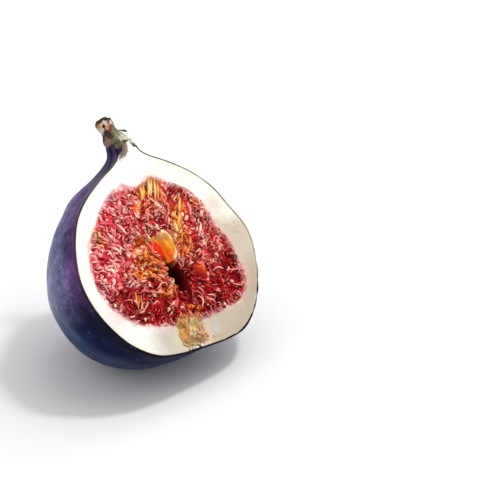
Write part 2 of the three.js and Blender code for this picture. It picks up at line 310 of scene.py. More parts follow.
def face_height(x, y):
    """The z of the cut surface: flat but for the facet of the second cut and the knife's slight waves."""
    beyond, below = off_second_cut(x, y)
    under_crease = smoothstep(below / (2.4 + np.maximum(beyond - 1, 0)), -0.15, 0.85)
    facet = math.tan(math.radians(SECOND_CUT["turn"])) * np.maximum(beyond, 0) * under_crease
    return -facet + 0.07 * noise(flat(x, y), 9, 3, 2)


def beyond_body(x, y, z, depth):
    """Over 0 outside the body taken in by a depth, and under 0 inside it."""
    radius, height = profile(depth)
    reach = np.interp(y, height, radius)
    mx, mz = middle(y)
    full = fullness(y)
    angle = np.arctan2((z - mz) / full, x - mx)
    reach = reach * ribs(angle, y)
    inside = ((x - mx) / reach) ** 2 + ((z - mz) / (reach * full)) ** 2 - 1
    return np.where((y < height[0]) | (y > height[-1]), 1.0, inside)


def first_crossing(test, angles, centre, reach=34, steps=850):
    """How far from the centre, at each angle in the face, test(x, y) first goes over 0."""
    far = np.linspace(0.5, reach, steps)
    x = centre[0] + far[None, :] * np.cos(angles)[:, None]
    y = centre[1] + far[None, :] * np.sin(angles)[:, None]
    value = test(x, y)
    first = np.argmax(value > 0, axis=1)
    rows = np.arange(len(angles))
    before, after = value[rows, first - 1], value[rows, first]
    share = np.clip(-before / (after - before), 0, 1)
    return far[first - 1] + share * (far[first] - far[first - 1])


PULP_LEFT = smooth_curve([(left, y) for y, left, _ in PULP_EDGE], 300)
PULP_RIGHT = smooth_curve([(right, y) for y, _, right in PULP_EDGE], 300)


def beyond_pulp(x, y):
    """Over 0 outside the pulp's edge, and under 0 inside it, in about mm."""
    left = np.interp(y, PULP_LEFT[:, 1], PULP_LEFT[:, 0])
    right = np.interp(y, PULP_RIGHT[:, 1], PULP_RIGHT[:, 0])
    sideways = np.maximum(left - x, x - right)
    upright = np.maximum(PULP_EDGE[0][0] - y, y - PULP_EDGE[-1][0])
    notch = PULP_NOTCH_SIZE[1] * (1 - in_ellipse(x, y, PULP_NOTCH, PULP_NOTCH_SIZE))
    return np.maximum(np.maximum(sideways, upright), notch)


def in_ellipse(x, y, centre, size):
    """0 in the middle of an ellipse and 1 on its edge."""
    return np.hypot((x - centre[0]) / size[0], (y - centre[1]) / size[1])


def from_hollow(x, y):
    """0 in the middle of the hollow and 1 on its edge."""
    return in_ellipse(x + HOLLOW_LEAN * (y - HOLLOW[1]), y, HOLLOW, HOLLOW_SIZE)


def right_of_hollow(x, y):
    """1 at the hollow's lower right side and 0 at its left."""
    return smoothstep(x - HOLLOW[0] - 0.25 * (y - HOLLOW[1]), -0.3, 1.0)


# ---------------------------------------------------------------- meshes

SKIRT = 0.8  # how deep the edge of a sheet reaches before it closes
WELD_REACH = 0.004  # points this near each other, in mm, are one


def grid_faces(rows, columns, closed):
    """The quads of a grid of points, whose last column may join its first."""
    i, j = np.meshgrid(np.arange(rows - 1), np.arange(columns if closed else columns - 1), indexing="ij")
    after = (j + 1) % columns
    quads = stack(i * columns + j, i * columns + after, (i + 1) * columns + after, (i + 1) * columns + j)
    return quads.reshape(-1, 4)


def fan(centre, ring, flip=False):
    """The triangles from one point to a closed ring."""
    after = np.roll(ring, -1)
    first, second = (after, ring) if flip else (ring, after)
    return stack(centre, first, second)


def sheet_solid(x, y, z, tint, kept, bottom):
    """The kept part of a grid of heights, closed by a skirt and a low point, with its tints."""
    sheet = grid_faces(*x.shape, False)
    sheet = sheet[kept.ravel()[sheet].all(axis=1)]
    edges = np.vstack([sheet[:, [i, (i + 1) % 4]] for i in range(4)])
    keys = np.sort(edges, axis=1) @ [x.size, 1]
    _, first, times = np.unique(keys, return_index=True, return_counts=True)
    border = edges[first[times == 1]]
    used, places = np.unique(np.r_[sheet.ravel(), border.ravel()], return_inverse=True)
    sheet, border = places[: sheet.size].reshape(-1, 4), places[sheet.size :].reshape(-1, 2)
    top = stack(x, y, z).reshape(-1, 3)[used]
    tint = tint.reshape(-1, 3)[used]
    below = np.unique(border)
    lower = np.full(len(top), -1)
    lower[below] = len(top) + np.arange(len(below))
    points = np.vstack([top, top[below] - [0, 0, SKIRT], [[*top[:, :2].mean(axis=0), bottom]]])
    start, end = border.T
    skirt = stack(end, start, lower[start], lower[end])
    under = stack(lower[end], lower[start], len(points) - 1)
    return points, np.vstack([sheet, skirt]), under, np.vstack([tint, tint[below], tint.mean(axis=0)])


def mesh_piece(name, made, material, depth=0.0, **numbers):
    """A piece from points in the fig's frame, quads, triangles and tints.

    depth is how far it stays over the floor. numbers are given to its points too, to be shaded by.
    """
    points, quads, triangles, tint = made
    quads = np.asarray(quads, np.int32).reshape(-1, 4)
    triangles = np.asarray(triangles, np.int32).reshape(-1, 3)
    mesh = bpy.data.meshes.new(name)
    mesh.vertices.add(len(points))
    mesh.vertices.foreach_set("co", place(points, depth).astype(np.float32).ravel())
    mesh.loops.add(quads.size + triangles.size)
    mesh.loops.foreach_set("vertex_index", np.r_[quads.ravel(), triangles.ravel()])
    mesh.polygons.add(len(quads) + len(triangles))
    starts = np.r_[np.arange(len(quads)) * 4, quads.size + np.arange(len(triangles)) * 3]
    mesh.polygons.foreach_set("loop_start", starts.astype(np.int32))
    mesh.update(calc_edges=True)
    mesh.validate()
    mesh.shade_smooth()
    layer = mesh.color_attributes.new("tint", "FLOAT_COLOR", "POINT")
    layer.data.foreach_set("color", np.c_[tint, np.ones(len(points))].astype(np.float32).ravel())
    for label, values in numbers.items():
        kind, field = ("FLOAT_VECTOR", "vector") if np.ndim(values) == 2 else ("FLOAT", "value")
        layer = mesh.attributes.new(label, kind, "POINT")
        layer.data.foreach_set(field, np.asarray(values, np.float32).ravel())
    mesh.materials.append(material)
    piece = bpy.data.objects.new(name, mesh)
    bpy.context.scene.collection.objects.link(piece)
    return piece


def dress(piece, node):
    """The piece rides on the fig and stands for a CAD node."""
    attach(piece, "root")
    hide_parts(node)


# ---------------------------------------------------------------- materials


class Shader:
    """A material's nodes, with short names for the few kinds that are used here."""

    def __init__(self, name):
        """A new material with a plain surface."""
        self.material = bpy.data.materials.new(name)
        self.material.use_nodes = True
        self.nodes = self.material.node_tree.nodes
        self.links = self.material.node_tree.links
        self.surface = self.nodes["Principled BSDF"]

    def link(self, source, target):
        """Joins an output to an input."""
        self.links.new(source, target)

    def sources(self):
        """The place in the object, and the tint of its points."""
        return self.node("ShaderNodeTexCoord").outputs["Object"], self.attribute("tint").outputs["Color"]

    def paint(self, tint, shade):
        """The surface takes the tint, darkened or lightened by a shade."""
        self.link(self.blend(1.0, tint, shade, "MULTIPLY"), self.surface.inputs["Base Color"])

    def node(self, kind, **settings):
        """A new node with its settings."""
        made = self.nodes.new(kind)
        for key, value in settings.items():
            setattr(made, key, value)
        return made

    def attribute(self, name):
        """Numbers that a piece's points carry."""
        return self.node("ShaderNodeAttribute", attribute_name=name)

    def set(self, **values):
        """Sets inputs of the surface, named with _ for a space."""
        for key, value in values.items():
            self.surface.inputs[key.replace("_", " ")].default_value = value

    def noise(self, place_socket, scale, detail, roughness=0.55):
        """Soft noise from 0 to 1."""
        made = self.node("ShaderNodeTexNoise")
        made.inputs["Scale"].default_value = scale
        made.inputs["Detail"].default_value = detail
        made.inputs["Roughness"].default_value = roughness
        self.link(place_socket, made.inputs["Vector"])
        return made.outputs["Fac"]

    def ramp(self, source, stops):
        """stops are (position, number or colour)."""
        made = self.node("ShaderNodeValToRGB")
        elements = made.color_ramp.elements
        while len(elements) < len(stops):
            elements.new(0.5)
        for element, (position, value) in zip(elements, stops):
            element.position = position
            rgb = (value,) * 3 if np.ndim(value) == 0 else tuple(value)
            element.color = (*rgb, 1)
        self.link(source, made.inputs["Fac"])
        return made.outputs["Color"]

    def fill(self, socket, value):
        """Gives a socket another's output, a number, or a colour."""
        if hasattr(value, "node"):
            self.link(value, socket)
        else:
            socket.default_value = value if np.ndim(value) == 0 else (*value, 1)

    def blend(self, share, first, second, mode="MIX"):
        """Mixes two colours, each a socket or numbers, by a share."""
        made = self.node("ShaderNodeMix", data_type="RGBA", blend_type=mode)
        for place_in_node, value in ((0, share), (6, first), (7, second)):
            self.fill(made.inputs[place_in_node], value)
        return made.outputs[2]

    def maths(self, operation, first, second):
        """A sum or a product of two sockets or numbers."""
        made = self.node("ShaderNodeMath", operation=operation)
        self.fill(made.inputs[0], first)
        self.fill(made.inputs[1], second)
        return made.outputs[0]

    def bump(self, height, strength, distance):
        """Fine relief on the surface."""
        made = self.node("ShaderNodeBump")
        made.inputs["Strength"].default_value = strength
        made.inputs["Distance"].default_value = distance
        self.link(height, made.inputs["Height"])
        self.link(made.outputs["Normal"], self.surface.inputs["Normal"])


def skin_material():
    """Thin waxy skin, tinted by its points, with streaks along the fig, dark grain and pale flecks."""
    s = Shader("fig_skin")
    spot, tint = s.sources()
    streak = s.attribute("streak").outputs["Vector"]
    bloom = s.attribute("bloom").outputs["Fac"]
    fine = s.noise(streak, 2.4, 5, 0.7)
    finer = s.noise(streak, 6.0, 3, 0.6)
    grain = s.noise(spot, 1.3 / MM, 4, 0.7)
    skin = s.blend(0.85, tint, s.ramp(fine, [(0.34, 0.2), (0.66, 0.8)]), "OVERLAY")
    skin = s.blend(0.5, skin, s.ramp(finer, [(0.36, 0.25), (0.64, 0.75)]), "OVERLAY")
    # the pale bloom, in streaks; far from the rim, where the skin turns away, it is also a painted sheen
    dust = s.ramp(s.noise(streak, 1.3, 4, 0.7), [(0.42, 0.0), (0.62, 1.0)])
    dust_and_sheen = s.maths("MULTIPLY", bloom, dust)
    skin = s.blend(s.maths("MULTIPLY", dust_and_sheen, 0.38), skin, colour("#7c86a8"))
    skin = s.blend(s.ramp(grain, [(0.54, 0.0), (0.7, 0.4)]), skin, colour("#0a0c20"))
    dots = s.node("ShaderNodeTexVoronoi")
    dots.inputs["Scale"].default_value = 0.62 / MM
    s.link(spot, dots.inputs["Vector"])
    dot = s.ramp(dots.outputs["Distance"], [(0.06, 1.0), (0.13, 0.0)])
    skin = s.blend(s.maths("MULTIPLY", dot, 0.35), skin, colour("#8a90b0"))
    s.link(skin, s.surface.inputs["Base Color"])
    s.set(
        Specular_IOR_Level=0.05,
        Sheen_Weight=0.01,
        Sheen_Roughness=0.4,
        Sheen_Tint=(0.62, 0.68, 0.85, 1),
    )
    s.link(s.ramp(dust_and_sheen, [(0.0, 0.4), (1.0, 0.65)]), s.surface.inputs["Roughness"])
    ridges, lumps = s.noise(streak, 5, 4, 0.6), s.noise(spot, 2.2 / MM, 3)
    wrinkle = s.maths("ADD", ridges, s.maths("MULTIPLY", lumps, 0.6))
    s.bump(wrinkle, 0.35, 0.35 * MM)
    return s.material


def flesh_material():
    """Moist white flesh, tinted by its points, with fine fibres and pits."""
    s = Shader("fig_flesh")
    spot, tint = s.sources()
    fibre = s.noise(s.attribute("fibre").outputs["Vector"], 1.6, 4, 0.6)
    grain = s.noise(spot, 1.7 / MM, 4, 0.65)
    both = s.maths("ADD", s.maths("MULTIPLY", fibre, 0.5), s.maths("MULTIPLY", grain, 0.5))
    s.paint(tint, s.ramp(both, [(0.32, 0.93), (0.6, 1.0)]))
    s.set(
        Roughness=0.42,
        Specular_IOR_Level=0.4,
        Subsurface_Weight=0.3,
        Subsurface_Radius=(1.0, 0.7, 0.5),
        Subsurface_Scale=0.6 * MM,
    )
    s.bump(s.maths("ADD", fibre, grain), 0.22, 0.25 * MM)
    return s.material


def wet_material(name, subsurface, roughness, coat):
    """Wet, slightly see-through plant tissue, tinted by its points."""
    s = Shader(name)
    spot, tint = s.sources()
    s.paint(tint, s.ramp(s.noise(spot, 1.9 / MM, 3, 0.6), [(0.3, 0.82), (0.7, 1.2)]))
    s.set(
        Roughness=roughness,
        Specular_IOR_Level=0.05,
        Subsurface_Weight=subsurface,
        Subsurface_Radius=(1.0, 0.25, 0.2),
        Subsurface_Scale=0.6 * MM,
        Coat_Weight=coat,
        Coat_Roughness=0.08,
    )
    s.bump(s.noise(spot, 3.6 / MM, 3, 0.6), 0.4, 0.12 * MM)
    return s.material


ALONG_FIBRES = (1.0, 0.35, 1.0)  # fibres run along the fig, so their pattern is drawn out that way


def dry_material(name, roughness, size):
    """Fibrous plant tissue, such as the stem's bark and the eye's bracts, tinted by its points."""
    s = Shader(name)
    spot, tint = s.sources()
    fibre = s.noise(s.attribute("fibre").outputs["Vector"], size, 5, 0.65)
    s.paint(tint, s.ramp(fibre, [(0.34, 0.5), (0.64, 1.25)]))
    s.set(Roughness=roughness, Specular_IOR_Level=0.3)
    s.bump(s.maths("ADD", fibre, s.noise(spot, 3 / MM, 2)), 0.5, 0.2 * MM)
    return s.material


def wet_piece(name, made, label, shine, node="pulp_florets"):
    """A piece of wet tissue that stands for a CAD node. label and shine make its material."""
    dress(mesh_piece(name, made, wet_material(label, *shine)), node)


def dry_piece(name, made, label, finish, node):
    """A piece of dry tissue that stands for a CAD node. label and finish make its material."""
    dress(mesh_piece(name, made, dry_material(label, *finish), fibre=made[0] * ALONG_FIBRES), node)


# ---------------------------------------------------------------- skin

SKIN_RINGS = 200
SKIN_SIDES = 230
RIM_ROUNDS = 6  # the rim is found in this many rounds, each from the last


def skin_rims(radius, deep, y):
    """The angles at which the skin meets the face on its left and right, and which rings the face cuts."""
    mx, mz = middle(y)
    rims = []
    for side in (-1, 1):
        lift = np.zeros_like(y)
        for _ in range(RIM_ROUNDS):
            x = mx + side * radius * np.cos(lift)
            angle = lift if side > 0 else math.pi - lift
            sine = (face_height(x, y) - mz) / (deep * ribs(angle, y))
            lift = np.arcsin(np.clip(sine, -1, 1))
        rims.append((angle if side > 0 else math.pi - lift, sine < 1))
    (left, cut_left), (right, cut_right) = rims
    return left, right, (cut_left | cut_right)[:, 0]


def skin_surface(depth):
    """The skin on a grid, from rim to rim behind the face, taken in by a depth.

    It gives the points, their angles, heights and distances from the rim, and which rings the face cuts.
    """
    radius, height = profile(depth)
    length = np.r_[0, np.cumsum(np.hypot(np.diff(radius), np.diff(height)))]
    even = np.linspace(0, length[-1], SKIN_RINGS)
    radius, y = np.interp(even, length, radius)[:, None], np.interp(even, length, height)[:, None]
    mx, mz = middle(y)
    deep = radius * fullness(y)
    left, right, cut = skin_rims(radius, deep, y)
    share = np.linspace(0, 1, SKIN_SIDES)[None, :]
    angle = left + share * (right + 2 * math.pi - left)
    swell = ribs(angle, y)
    points = stack(mx + radius * swell * np.cos(angle), y, mz + deep * swell * np.sin(angle))
    from_rim = np.minimum(share, 1 - share) * radius * (right + 2 * math.pi - left)
    tuck = (0.35 + 0.6 * smoothstep(points[..., 0], 3, 9)) * smoothstep(-points[..., 2], 0.5, 4)
    points[..., 1] += tuck * smoothstep(-y, 17, 21)
    undercut = smoothstep(-points[..., 2], 0, 3) * smoothstep(-y, 12, 19) * smoothstep(points[..., 0], 2, 10)
    points[..., :2] += undercut[..., None] * [-0.5, 0.75]
    torn = smoothstep(-y, 2, 8) * smoothstep(points[..., 0], 2, 8) * np.exp(-from_rim / 0.8)
    points[..., 2] += torn * 0.35 * noise(points, 1.3, 12, 2)
    wave = smoothstep(from_rim, 0.3, 4) * smoothstep(radius, 0.5, 6)
    outwards = unit(points - stack(mx, y * 0.6, mz))
    points = points + outwards * (wave * 0.22 * noise(points, 7, 11, 3))[..., None]
    return points, angle, np.broadcast_to(y, angle.shape), from_rim, cut


def skin_tint(points, angle, y, from_rim):
    """Grey-lilac to navy from the neck down, darkening towards the bottom partly as painted shade, violet
    then nearly black towards the rim, and a ribbed neck.
    """
    x = points[..., 0]
    wide = noise(stack(angle * 6, y * 0.12, 0), 1.0, 21, 3)
    patch = noise(points * [1, 0.5, 1], 5, 22, 3)
    # the skin's own navy, deepened towards the bottom as painted shade
    low = smoothstep(-y + 4 * patch, -3, 9)
    mid = smoothstep(from_rim + 1.6 * wide, 2.0, 6)
    far = smoothstep(from_rim + 2.5 * patch, 7, 14)
    tint = mix(mix("#6a4884", "#03092a", low), mix("#6c6a92", "#051038", low), mid)
    tint = mix(tint, mix("#8886a6", "#12305e", low), far)
    tint = mix(tint, "#0c1434", 0.55 * smoothstep(wide + 0.4 * patch, 0.05, 0.6))
    pale = 0.45 * smoothstep(-wide + 0.3 * patch, 0.15, 0.7) * far
    tint = mix(tint, mix("#9490ac", "#44648c", low), pale)
    tint = mix(tint, "#5a2f78", 0.5 * smoothstep(wide, 0.0, 0.5) * (1 - mid) * (1 - low))
    maroon = np.exp(-from_rim / 1.1) * (0.75 + 0.4 * wide)
    tint = mix(tint, mix("#341428", "#0c0610", low), np.clip(maroon, 0, 1))
    charcoal = smoothstep(y, 11, 17) * hill(from_rim, 0, 3.2)
    tint = mix(tint, mix("#141420", "#62607a", smoothstep(wide, 0.1, 0.5)), 0.8 * charcoal)
    tint = mix(tint, neck_tint(angle, y, wide), 0.95 * smoothstep(y, 18.5, 22.5))
    olive = smoothstep(y, 11, 18) * np.exp(-from_rim / 0.9) * smoothstep(x, 1.5, 3.5)
    tint = mix(tint, mix("#8c8a76", "#54544a", smoothstep(y, 15, 18)), 0.85 * olive)
    cut_neck = smoothstep(y, 25.0, 25.7) * hill(from_rim, 0, 1.3)
    return mix(tint, mix("#847a5e", "#e6dec4", smoothstep(x + 0.3 * wide, 1.3, 2.2)), 0.95 * cut_neck)


def neck_tint(angle, y, wide):
    """The neck: grey-violet ribs, with painted shade that darkens the grooves between them nearly to black.
    """
    waves = np.cos(15 * angle + 0.6) + 0.4 * np.cos(9 * angle + 0.6) + 0.4 * wide
    ribbed = mix("#2e2850", "#463a60", smoothstep(wide, -0.3, 0.4))
    ribbed = mix(ribbed, "#55535e", 0.8 * fade(y, 21, 23))
    # painted shade: the grooves between the ribs are tinted nearly black
    return mix(ribbed, "#04020a", smoothstep(waves, 0.25, -0.35))


def cut_edge_tint(tint, points, y):
    """The skin's cut edge, inside its dark outer line: warm brown at the left and pale at the right."""
    x = points[..., 0]
    pale = smoothstep(x, 0, 6) * fade(-y, 8, 13)
    edge = mix("#6a4844", "#e4dac8", pale)
    edge = mix(edge, "#4c4c46", smoothstep(x, 1, 3) * smoothstep(y, 16, 19))
    return mix(tint, edge, 0.75 * (1 - smoothstep(-y, 6, 15) * (1 - pale)))


def build_skin():
    """The skin as a thin shell, open at the face and closed along its cut edge."""
    outer, angle, y, from_rim, cut = skin_surface(0)
    inner = skin_surface(SKIN_THICKNESS)[0]
    count = SKIN_RINGS * SKIN_SIDES
    sheet = grid_faces(SKIN_RINGS, SKIN_SIDES, False)
    quads = [sheet[:, ::-1], sheet + count]
    bands = np.nonzero(cut[:-1] | cut[1:])[0]
    for column, flip in ((0, False), (SKIN_SIDES - 1, True)):
        here = bands * SKIN_SIDES + column
        above = here + SKIN_SIDES
        rim = stack(here, above, above + count, here + count)
        quads.append(rim[:, ::-1] if flip else rim)
    base = np.arange(SKIN_SIDES - 1)
    top = base + (SKIN_RINGS - 1) * SKIN_SIDES
    quads.append(stack(top, top + count, top + count + 1, top + 1))
    quads.append(stack(base, base + 1, base + 1 + count, base + count))
    tint = skin_tint(outer, angle, y, from_rim)
    points = np.stack([outer, inner]).reshape(-1, 3)
    tints = np.stack([tint, cut_edge_tint(tint, outer, y)]).reshape(-1, 3)
    streak = stack(angle * 3.2, y * 0.16, np.sin(angle) * 2).reshape(-1, 3)
    # the bloom's share: strongest far from the rim, where the skin turns away, so partly a painted sheen;
    # less at the neck and low down
    bloom = smoothstep(from_rim, 3, 9) * fade(y, 14, 20) * (1 - 0.6 * smoothstep(-y, 0, 12))
    piece = mesh_piece(
        "skin_half",
        (points, np.vstack(quads), [], tints),
        skin_material(),
        streak=np.tile(streak, (2, 1)),
        bloom=np.tile(bloom.ravel(), 2),
    )
    weld(piece)
    dress(piece, "skin")


def weld(piece):
    """Joins points that lie in one place, such as where a ring closes on itself."""
    made = bmesh.new()
    made.from_mesh(piece.data)
    bmesh.ops.remove_doubles(made, verts=made.verts, dist=WELD_REACH * MM)
    bmesh.ops.recalc_face_normals(made, faces=made.faces)
    made.to_mesh(piece.data)
    made.free()


# ---------------------------------------------------------------- flesh

FACE_CENTRE = (-1, 0.5)
FLESH_ANGLES = 640
FACE_ROWS = (34, 14, 30)  # rings over the pulp, over the step at its edge, and over the wall
FLESH_BACK = [  # how far each ring behind the face drops, and its share of the rim's width
    (0.7, 0.985), (2.5, 0.94), (6, 0.86), (11, 0.72), (16, 0.52), (20, 0.3),
]
FLESH_CEILING = (30, 8)  # these rings stay under a height that falls from the first to the second
FLESH_BOTTOM = -22.0
FLESH_OVERLAP = 0.06  # the flesh reaches this far into the skin, so that no gap shows


def facet_shade_tint(y, spots):
    """The facet past the crease: beige, partly painted shade, darker and warmer low down as painted shade,
    with faint green stripes.
    """
    beige = mix("#d0c4aa", "#d4c2b0", blotches(spots, 3.5, 33, -0.4, 0.5))
    beige = mix(beige, "#c8b4a0", smoothstep(-y, 2, 13))
    stripes = blotches(spots * [0.3, 1.6, 1], 0.6, 47, 0.1, 0.6, 2)
    return mix(beige, "#c6c096", 0.35 * stripes * smoothstep(y, -4, 2))


def facet_shade_share(x, y, spots):
    """Where the facet's painted shade goes: 1 on the facet and in the corner under it, and 0 on the rest of
    the face.
    """
    beyond, below = off_second_cut(x, y)
    facet = smoothstep(beyond + 1.2 * noise(spots, 3, 32), -1.5, 1.0)
    facet = facet * smoothstep(below + 0.9 * noise(spots, 1.6, 32), -1.2, 2.6)
    corner = smoothstep(x - 0.46 * y - 12.5 + 1.2 * noise(spots, 3, 40), -1.5, 1.0)
    return np.maximum(facet, corner * smoothstep(-y, 8, 12))


def woody_tint(across, y, ragged, spots):
    """The woody tissue in the neck: nearly black, brown, tan and olive, with pale pits low down."""
    brown = mix("#34141a", "#644438", smoothstep(across + 0.6 * ragged, 0.0, 0.9))
    brown = mix(brown, "#a08470", smoothstep(across + 0.6 * ragged, 1.0, 1.9))
    brown = mix(brown, "#5e5a40", 0.75 * smoothstep(ragged + 0.3 * (across - y + 23.6), 0.1, 0.5))
    return mix(brown, "#f0dcd8", 0.85 * (blotches(spots, 0.5, 48, -0.1, 0.3, 1) * fade(y, 23.2, 24.0)))


def flesh_tint(x, y, from_pulp, from_rim):
    """The flesh's colour on the face: white, cream at the rim, pink by the pulp, and beige past the crease,
    with painted shade there, low down and by the rim at the lower right.
    """
    spots = flat(x, y)
    tint = mix("#fbfff7", "#fafaea", blotches(spots, 6, 31, -0.3, 0.9))
    # painted shade: beige over the facet past the crease and the corner under it
    tint = mix(tint, facet_shade_tint(y, spots), facet_shade_share(x, y, spots))
    # painted shade: the flesh greys low down
    low = smoothstep(-y, 12, 16.5) * smoothstep(x, -16, -8)
    tint = mix(tint, mix("#ccbcb2", "#c8b8a2", smoothstep(x, 2, 8)), 0.95 * low)
    tint = mix(tint, "#e6ccbc", 0.75 * spot_at(x, y, (18.5, 7.4), (2.6, 3.0)))
    tint = mix(tint, "#f2d2d2", 0.6 * spot_at(x, y, (-19.5, -9.5), (3.0, 4.0)))
    crust = in_ellipse(x, y, (4.4, -20.4), (2.6, 0.9)) + 0.3 * noise(spots, 1.2, 49, 2)
    crusty = mix("#a88c64", "#cdb692", blotches(spots, 0.5, 50, -0.3, 0.3, 1))
    tint = mix(tint, crusty, 0.85 * fade(crust, 0.7, 1.2))
    tint = mix(tint, "#d8dab0", 0.8 * spot_at(x, y, (-5.2, -18.4), (2.4, 1.6)))
    tint = mix(tint, "#c4cac2", 0.7 * spot_at(x, y, (5.6, -18.6), (1.0, 2.0)))
    inwards = np.maximum(from_rim, 0)
    # painted shade: the flesh darkens towards the rim at the lower right
    rim_shade = smoothstep(x - 0.6 * y, 12, 24) * smoothstep(-y, 2, 9) * np.exp(-inwards / 1.6)
    tint = mix(tint, "#8c7c74", 0.75 * rim_shade)
    tint = mix(tint, "#f6e6c0", 0.5 * np.exp(-inwards / 0.7))
    rays = noise(stack(0.25 * np.hypot(x, y), 7 * np.arctan2(y, x), 0), 0.5, 35, 2)
    reach = (0.3 + 0.34 * np.clip(rays, -0.7, 1)) * (1 - 0.35 * smoothstep(y, 6, 13))
    reach = reach + 1.1 * spot_at(x, y, (17.8, 2.5), (2.5, 2.6))
    halo = (0.75 + 0.1 * np.clip(rays, -1, 1)) * np.exp(-np.maximum(from_pulp, 0) / reach)
    pink = mix("#f8cfc8", "#eea2a8", blotches(spots, 1.5, 36, -0.3, 0.6))
    tint = mix(tint, pink, halo * (0.45 + 0.55 * smoothstep(-x, -6, 8)))
    tint = mix(tint, "#e2a35c", 0.7 * spot_at(x, y, (18.8, -9.6), (1.8, 1.6)))
    around_eye = fade(in_ellipse(x, y, EYE, EYE_SIZE) + 0.2 * noise(spots, 1.5, 38), 0.85, 1.4)
    tint = mix(tint, "#e2c8a0", 0.8 * around_eye)
    across = x - WOODY_LEAN * (y - WOODY[1])
    ragged = noise(spots * [1.6, 0.7, 1], 0.7, 39, 2)
    woody = in_ellipse(np.maximum(across, WOODY[0]), y, WOODY, WOODY_SIZE) + 0.25 * ragged
    return mix(tint, woody_tint(across, y, ragged, spots), 0.95 * fade(woody, 0.8, 1.1))


def bed_tint(x, y, from_pulp):
    """The bed under the florets: wine red, rusty in the heart, and nearly black in the hollow as painted
    shade.
    """
    spots = flat(x, y)
    tint = mix("#8a0f1a", "#b81f2a", blotches(spots, 2, 41, -0.5, 0.7))
    tint = mix(tint, "#eeb0ac", 0.85 * smoothstep(from_pulp, -1.9, -0.4))
    tint = mix(tint, "#b4521c", fade(in_ellipse(x, y, HEART, HEART_SIZE), 0.6, 1.1))
    # painted shade: the hollow is tinted nearly black
    return mix(tint, "#1c0305", fade(from_hollow(x, y), 1.1, 1.5))


def bed_height(x, y, from_pulp):
    """How deep the bed lies: a soft step down from the wall, lumps, the hollow in the heart, and the eye."""
    depth = BED_DEPTH * smoothstep(-from_pulp, -0.2, 2.0)
    lumps = 0.35 * noise(flat(x, y), 3.2, 42, 2) * smoothstep(-from_pulp, 0.2, 1.5)
    hollow = HOLLOW_DEPTH * fade(from_hollow(x, y), 0.45, 1.3)
    heart = 0.5 * fade(in_ellipse(x, y, HEART, HEART_SIZE), 0.5, 1.1)
    eye = 0.5 * fade(in_ellipse(x, y, EYE, EYE_SIZE), 0.7, 1.05) * smoothstep(from_pulp, -0.5, 0.5)
    return -depth + lumps - hollow - heart - eye


def flesh_face(angles):
    """The cut face in rings from the pulp's middle to the rim: points, tints and places in its fibres."""
    rim = first_crossing(
        lambda x, y: beyond_body(x, y, face_height(x, y), SKIN_THICKNESS - FLESH_OVERLAP), angles, FACE_CENTRE
    )
    edge = first_crossing(beyond_pulp, angles, FACE_CENTRE)
    around = stack(np.cos(angles), np.sin(angles), 0)
    edge = edge + 0.42 * noise(around * 22, 1.8, 43, 3) + 0.5 * noise(around * 22, 6, 44, 2)
    edge = np.minimum(edge, rim - 1.2)
    inside = np.linspace(0.02, 1, FACE_ROWS[0])[:, None] * (edge - 1.5)
    step = edge + np.linspace(-1.4, 0.5, FACE_ROWS[1])[:, None]
    wall = (edge + 0.5) + np.linspace(0, 1, FACE_ROWS[2])[1:, None] * (rim - edge - 0.5)
    far = np.vstack([inside, step, wall])
    x = FACE_CENTRE[0] + far * np.cos(angles)
    y = FACE_CENTRE[1] + far * np.sin(angles)
    from_pulp, from_rim = far - edge, rim - far
    fibre = stack(far * 0.35, angles * 9, 0)
    pits = -0.16 * blotches(flat(x, y), 1.1, 46, 0.45, 0.8, 2)
    wall_detail = (0.05 * noise(fibre, 0.5, 45, 3) + pits) * smoothstep(from_pulp, -0.2, 0.6)
    wall_detail = wall_detail * smoothstep(from_rim, 0.0, 0.5)
    sink = -0.12 * np.exp(-from_rim / 0.25)
    z = face_height(x, y) + bed_height(x, y, from_pulp) + wall_detail + sink
    z = np.where(y > NECK_TOP - 0.4, np.minimum(z, 0), z)
    seam = smoothstep(from_pulp, -0.9, 0.1)
    tint = mix(bed_tint(x, y, from_pulp), flesh_tint(x, y, from_pulp, from_rim), seam)
    return stack(x, y, z), tint, fibre


def build_flesh():
    """The flesh and the florets' bed: the cut face, and rings behind it that fill the skin."""
    angles = np.linspace(0, 2 * math.pi, FLESH_ANGLES, endpoint=False)
    face, tint, fibre = flesh_face(angles)
    rings = [face]
    last = face[-1]
    for drop, share in FLESH_BACK:
        ring = last.copy()
        ring[:, :2] = np.array(FACE_CENTRE) + (last[:, :2] - FACE_CENTRE) * share
        ring[:, 1] = np.minimum(ring[:, 1], mix(*FLESH_CEILING, min(drop / 8, 1)))
        ring[:, 2] = last[:, 2] - drop
        rings.append(ring[None])
    points = np.vstack(rings)
    rows = len(points)
    count = rows * FLESH_ANGLES
    points = points.reshape(-1, 3)
    ends = [[*FACE_CENTRE, points[:FLESH_ANGLES, 2].mean()], [*FACE_CENTRE, FLESH_BOTTOM]]
    ring = np.arange(FLESH_ANGLES)
    triangles = np.vstack([fan(count, ring), fan(count + 1, (rows - 1) * FLESH_ANGLES + ring, True)])
    back = colour("#f1e6cf")
    behind = np.tile(back, (len(FLESH_BACK) * FLESH_ANGLES, 1))
    tints = [tint.reshape(-1, 3), behind, tint[0].mean(axis=0), back]
    fibre = fibre.reshape(-1, 3)
    piece = mesh_piece(
        "flesh_wall",
        (np.vstack([points, ends]), grid_faces(rows, FLESH_ANGLES, True), triangles, np.vstack(tints)),
        flesh_material(),
        depth=SKIN_THICKNESS,
        fibre=np.vstack([fibre, np.zeros((count - len(fibre) + 2, 3))]),
    )
    dress(piece, "flesh")


# ---------------------------------------------------------------- florets

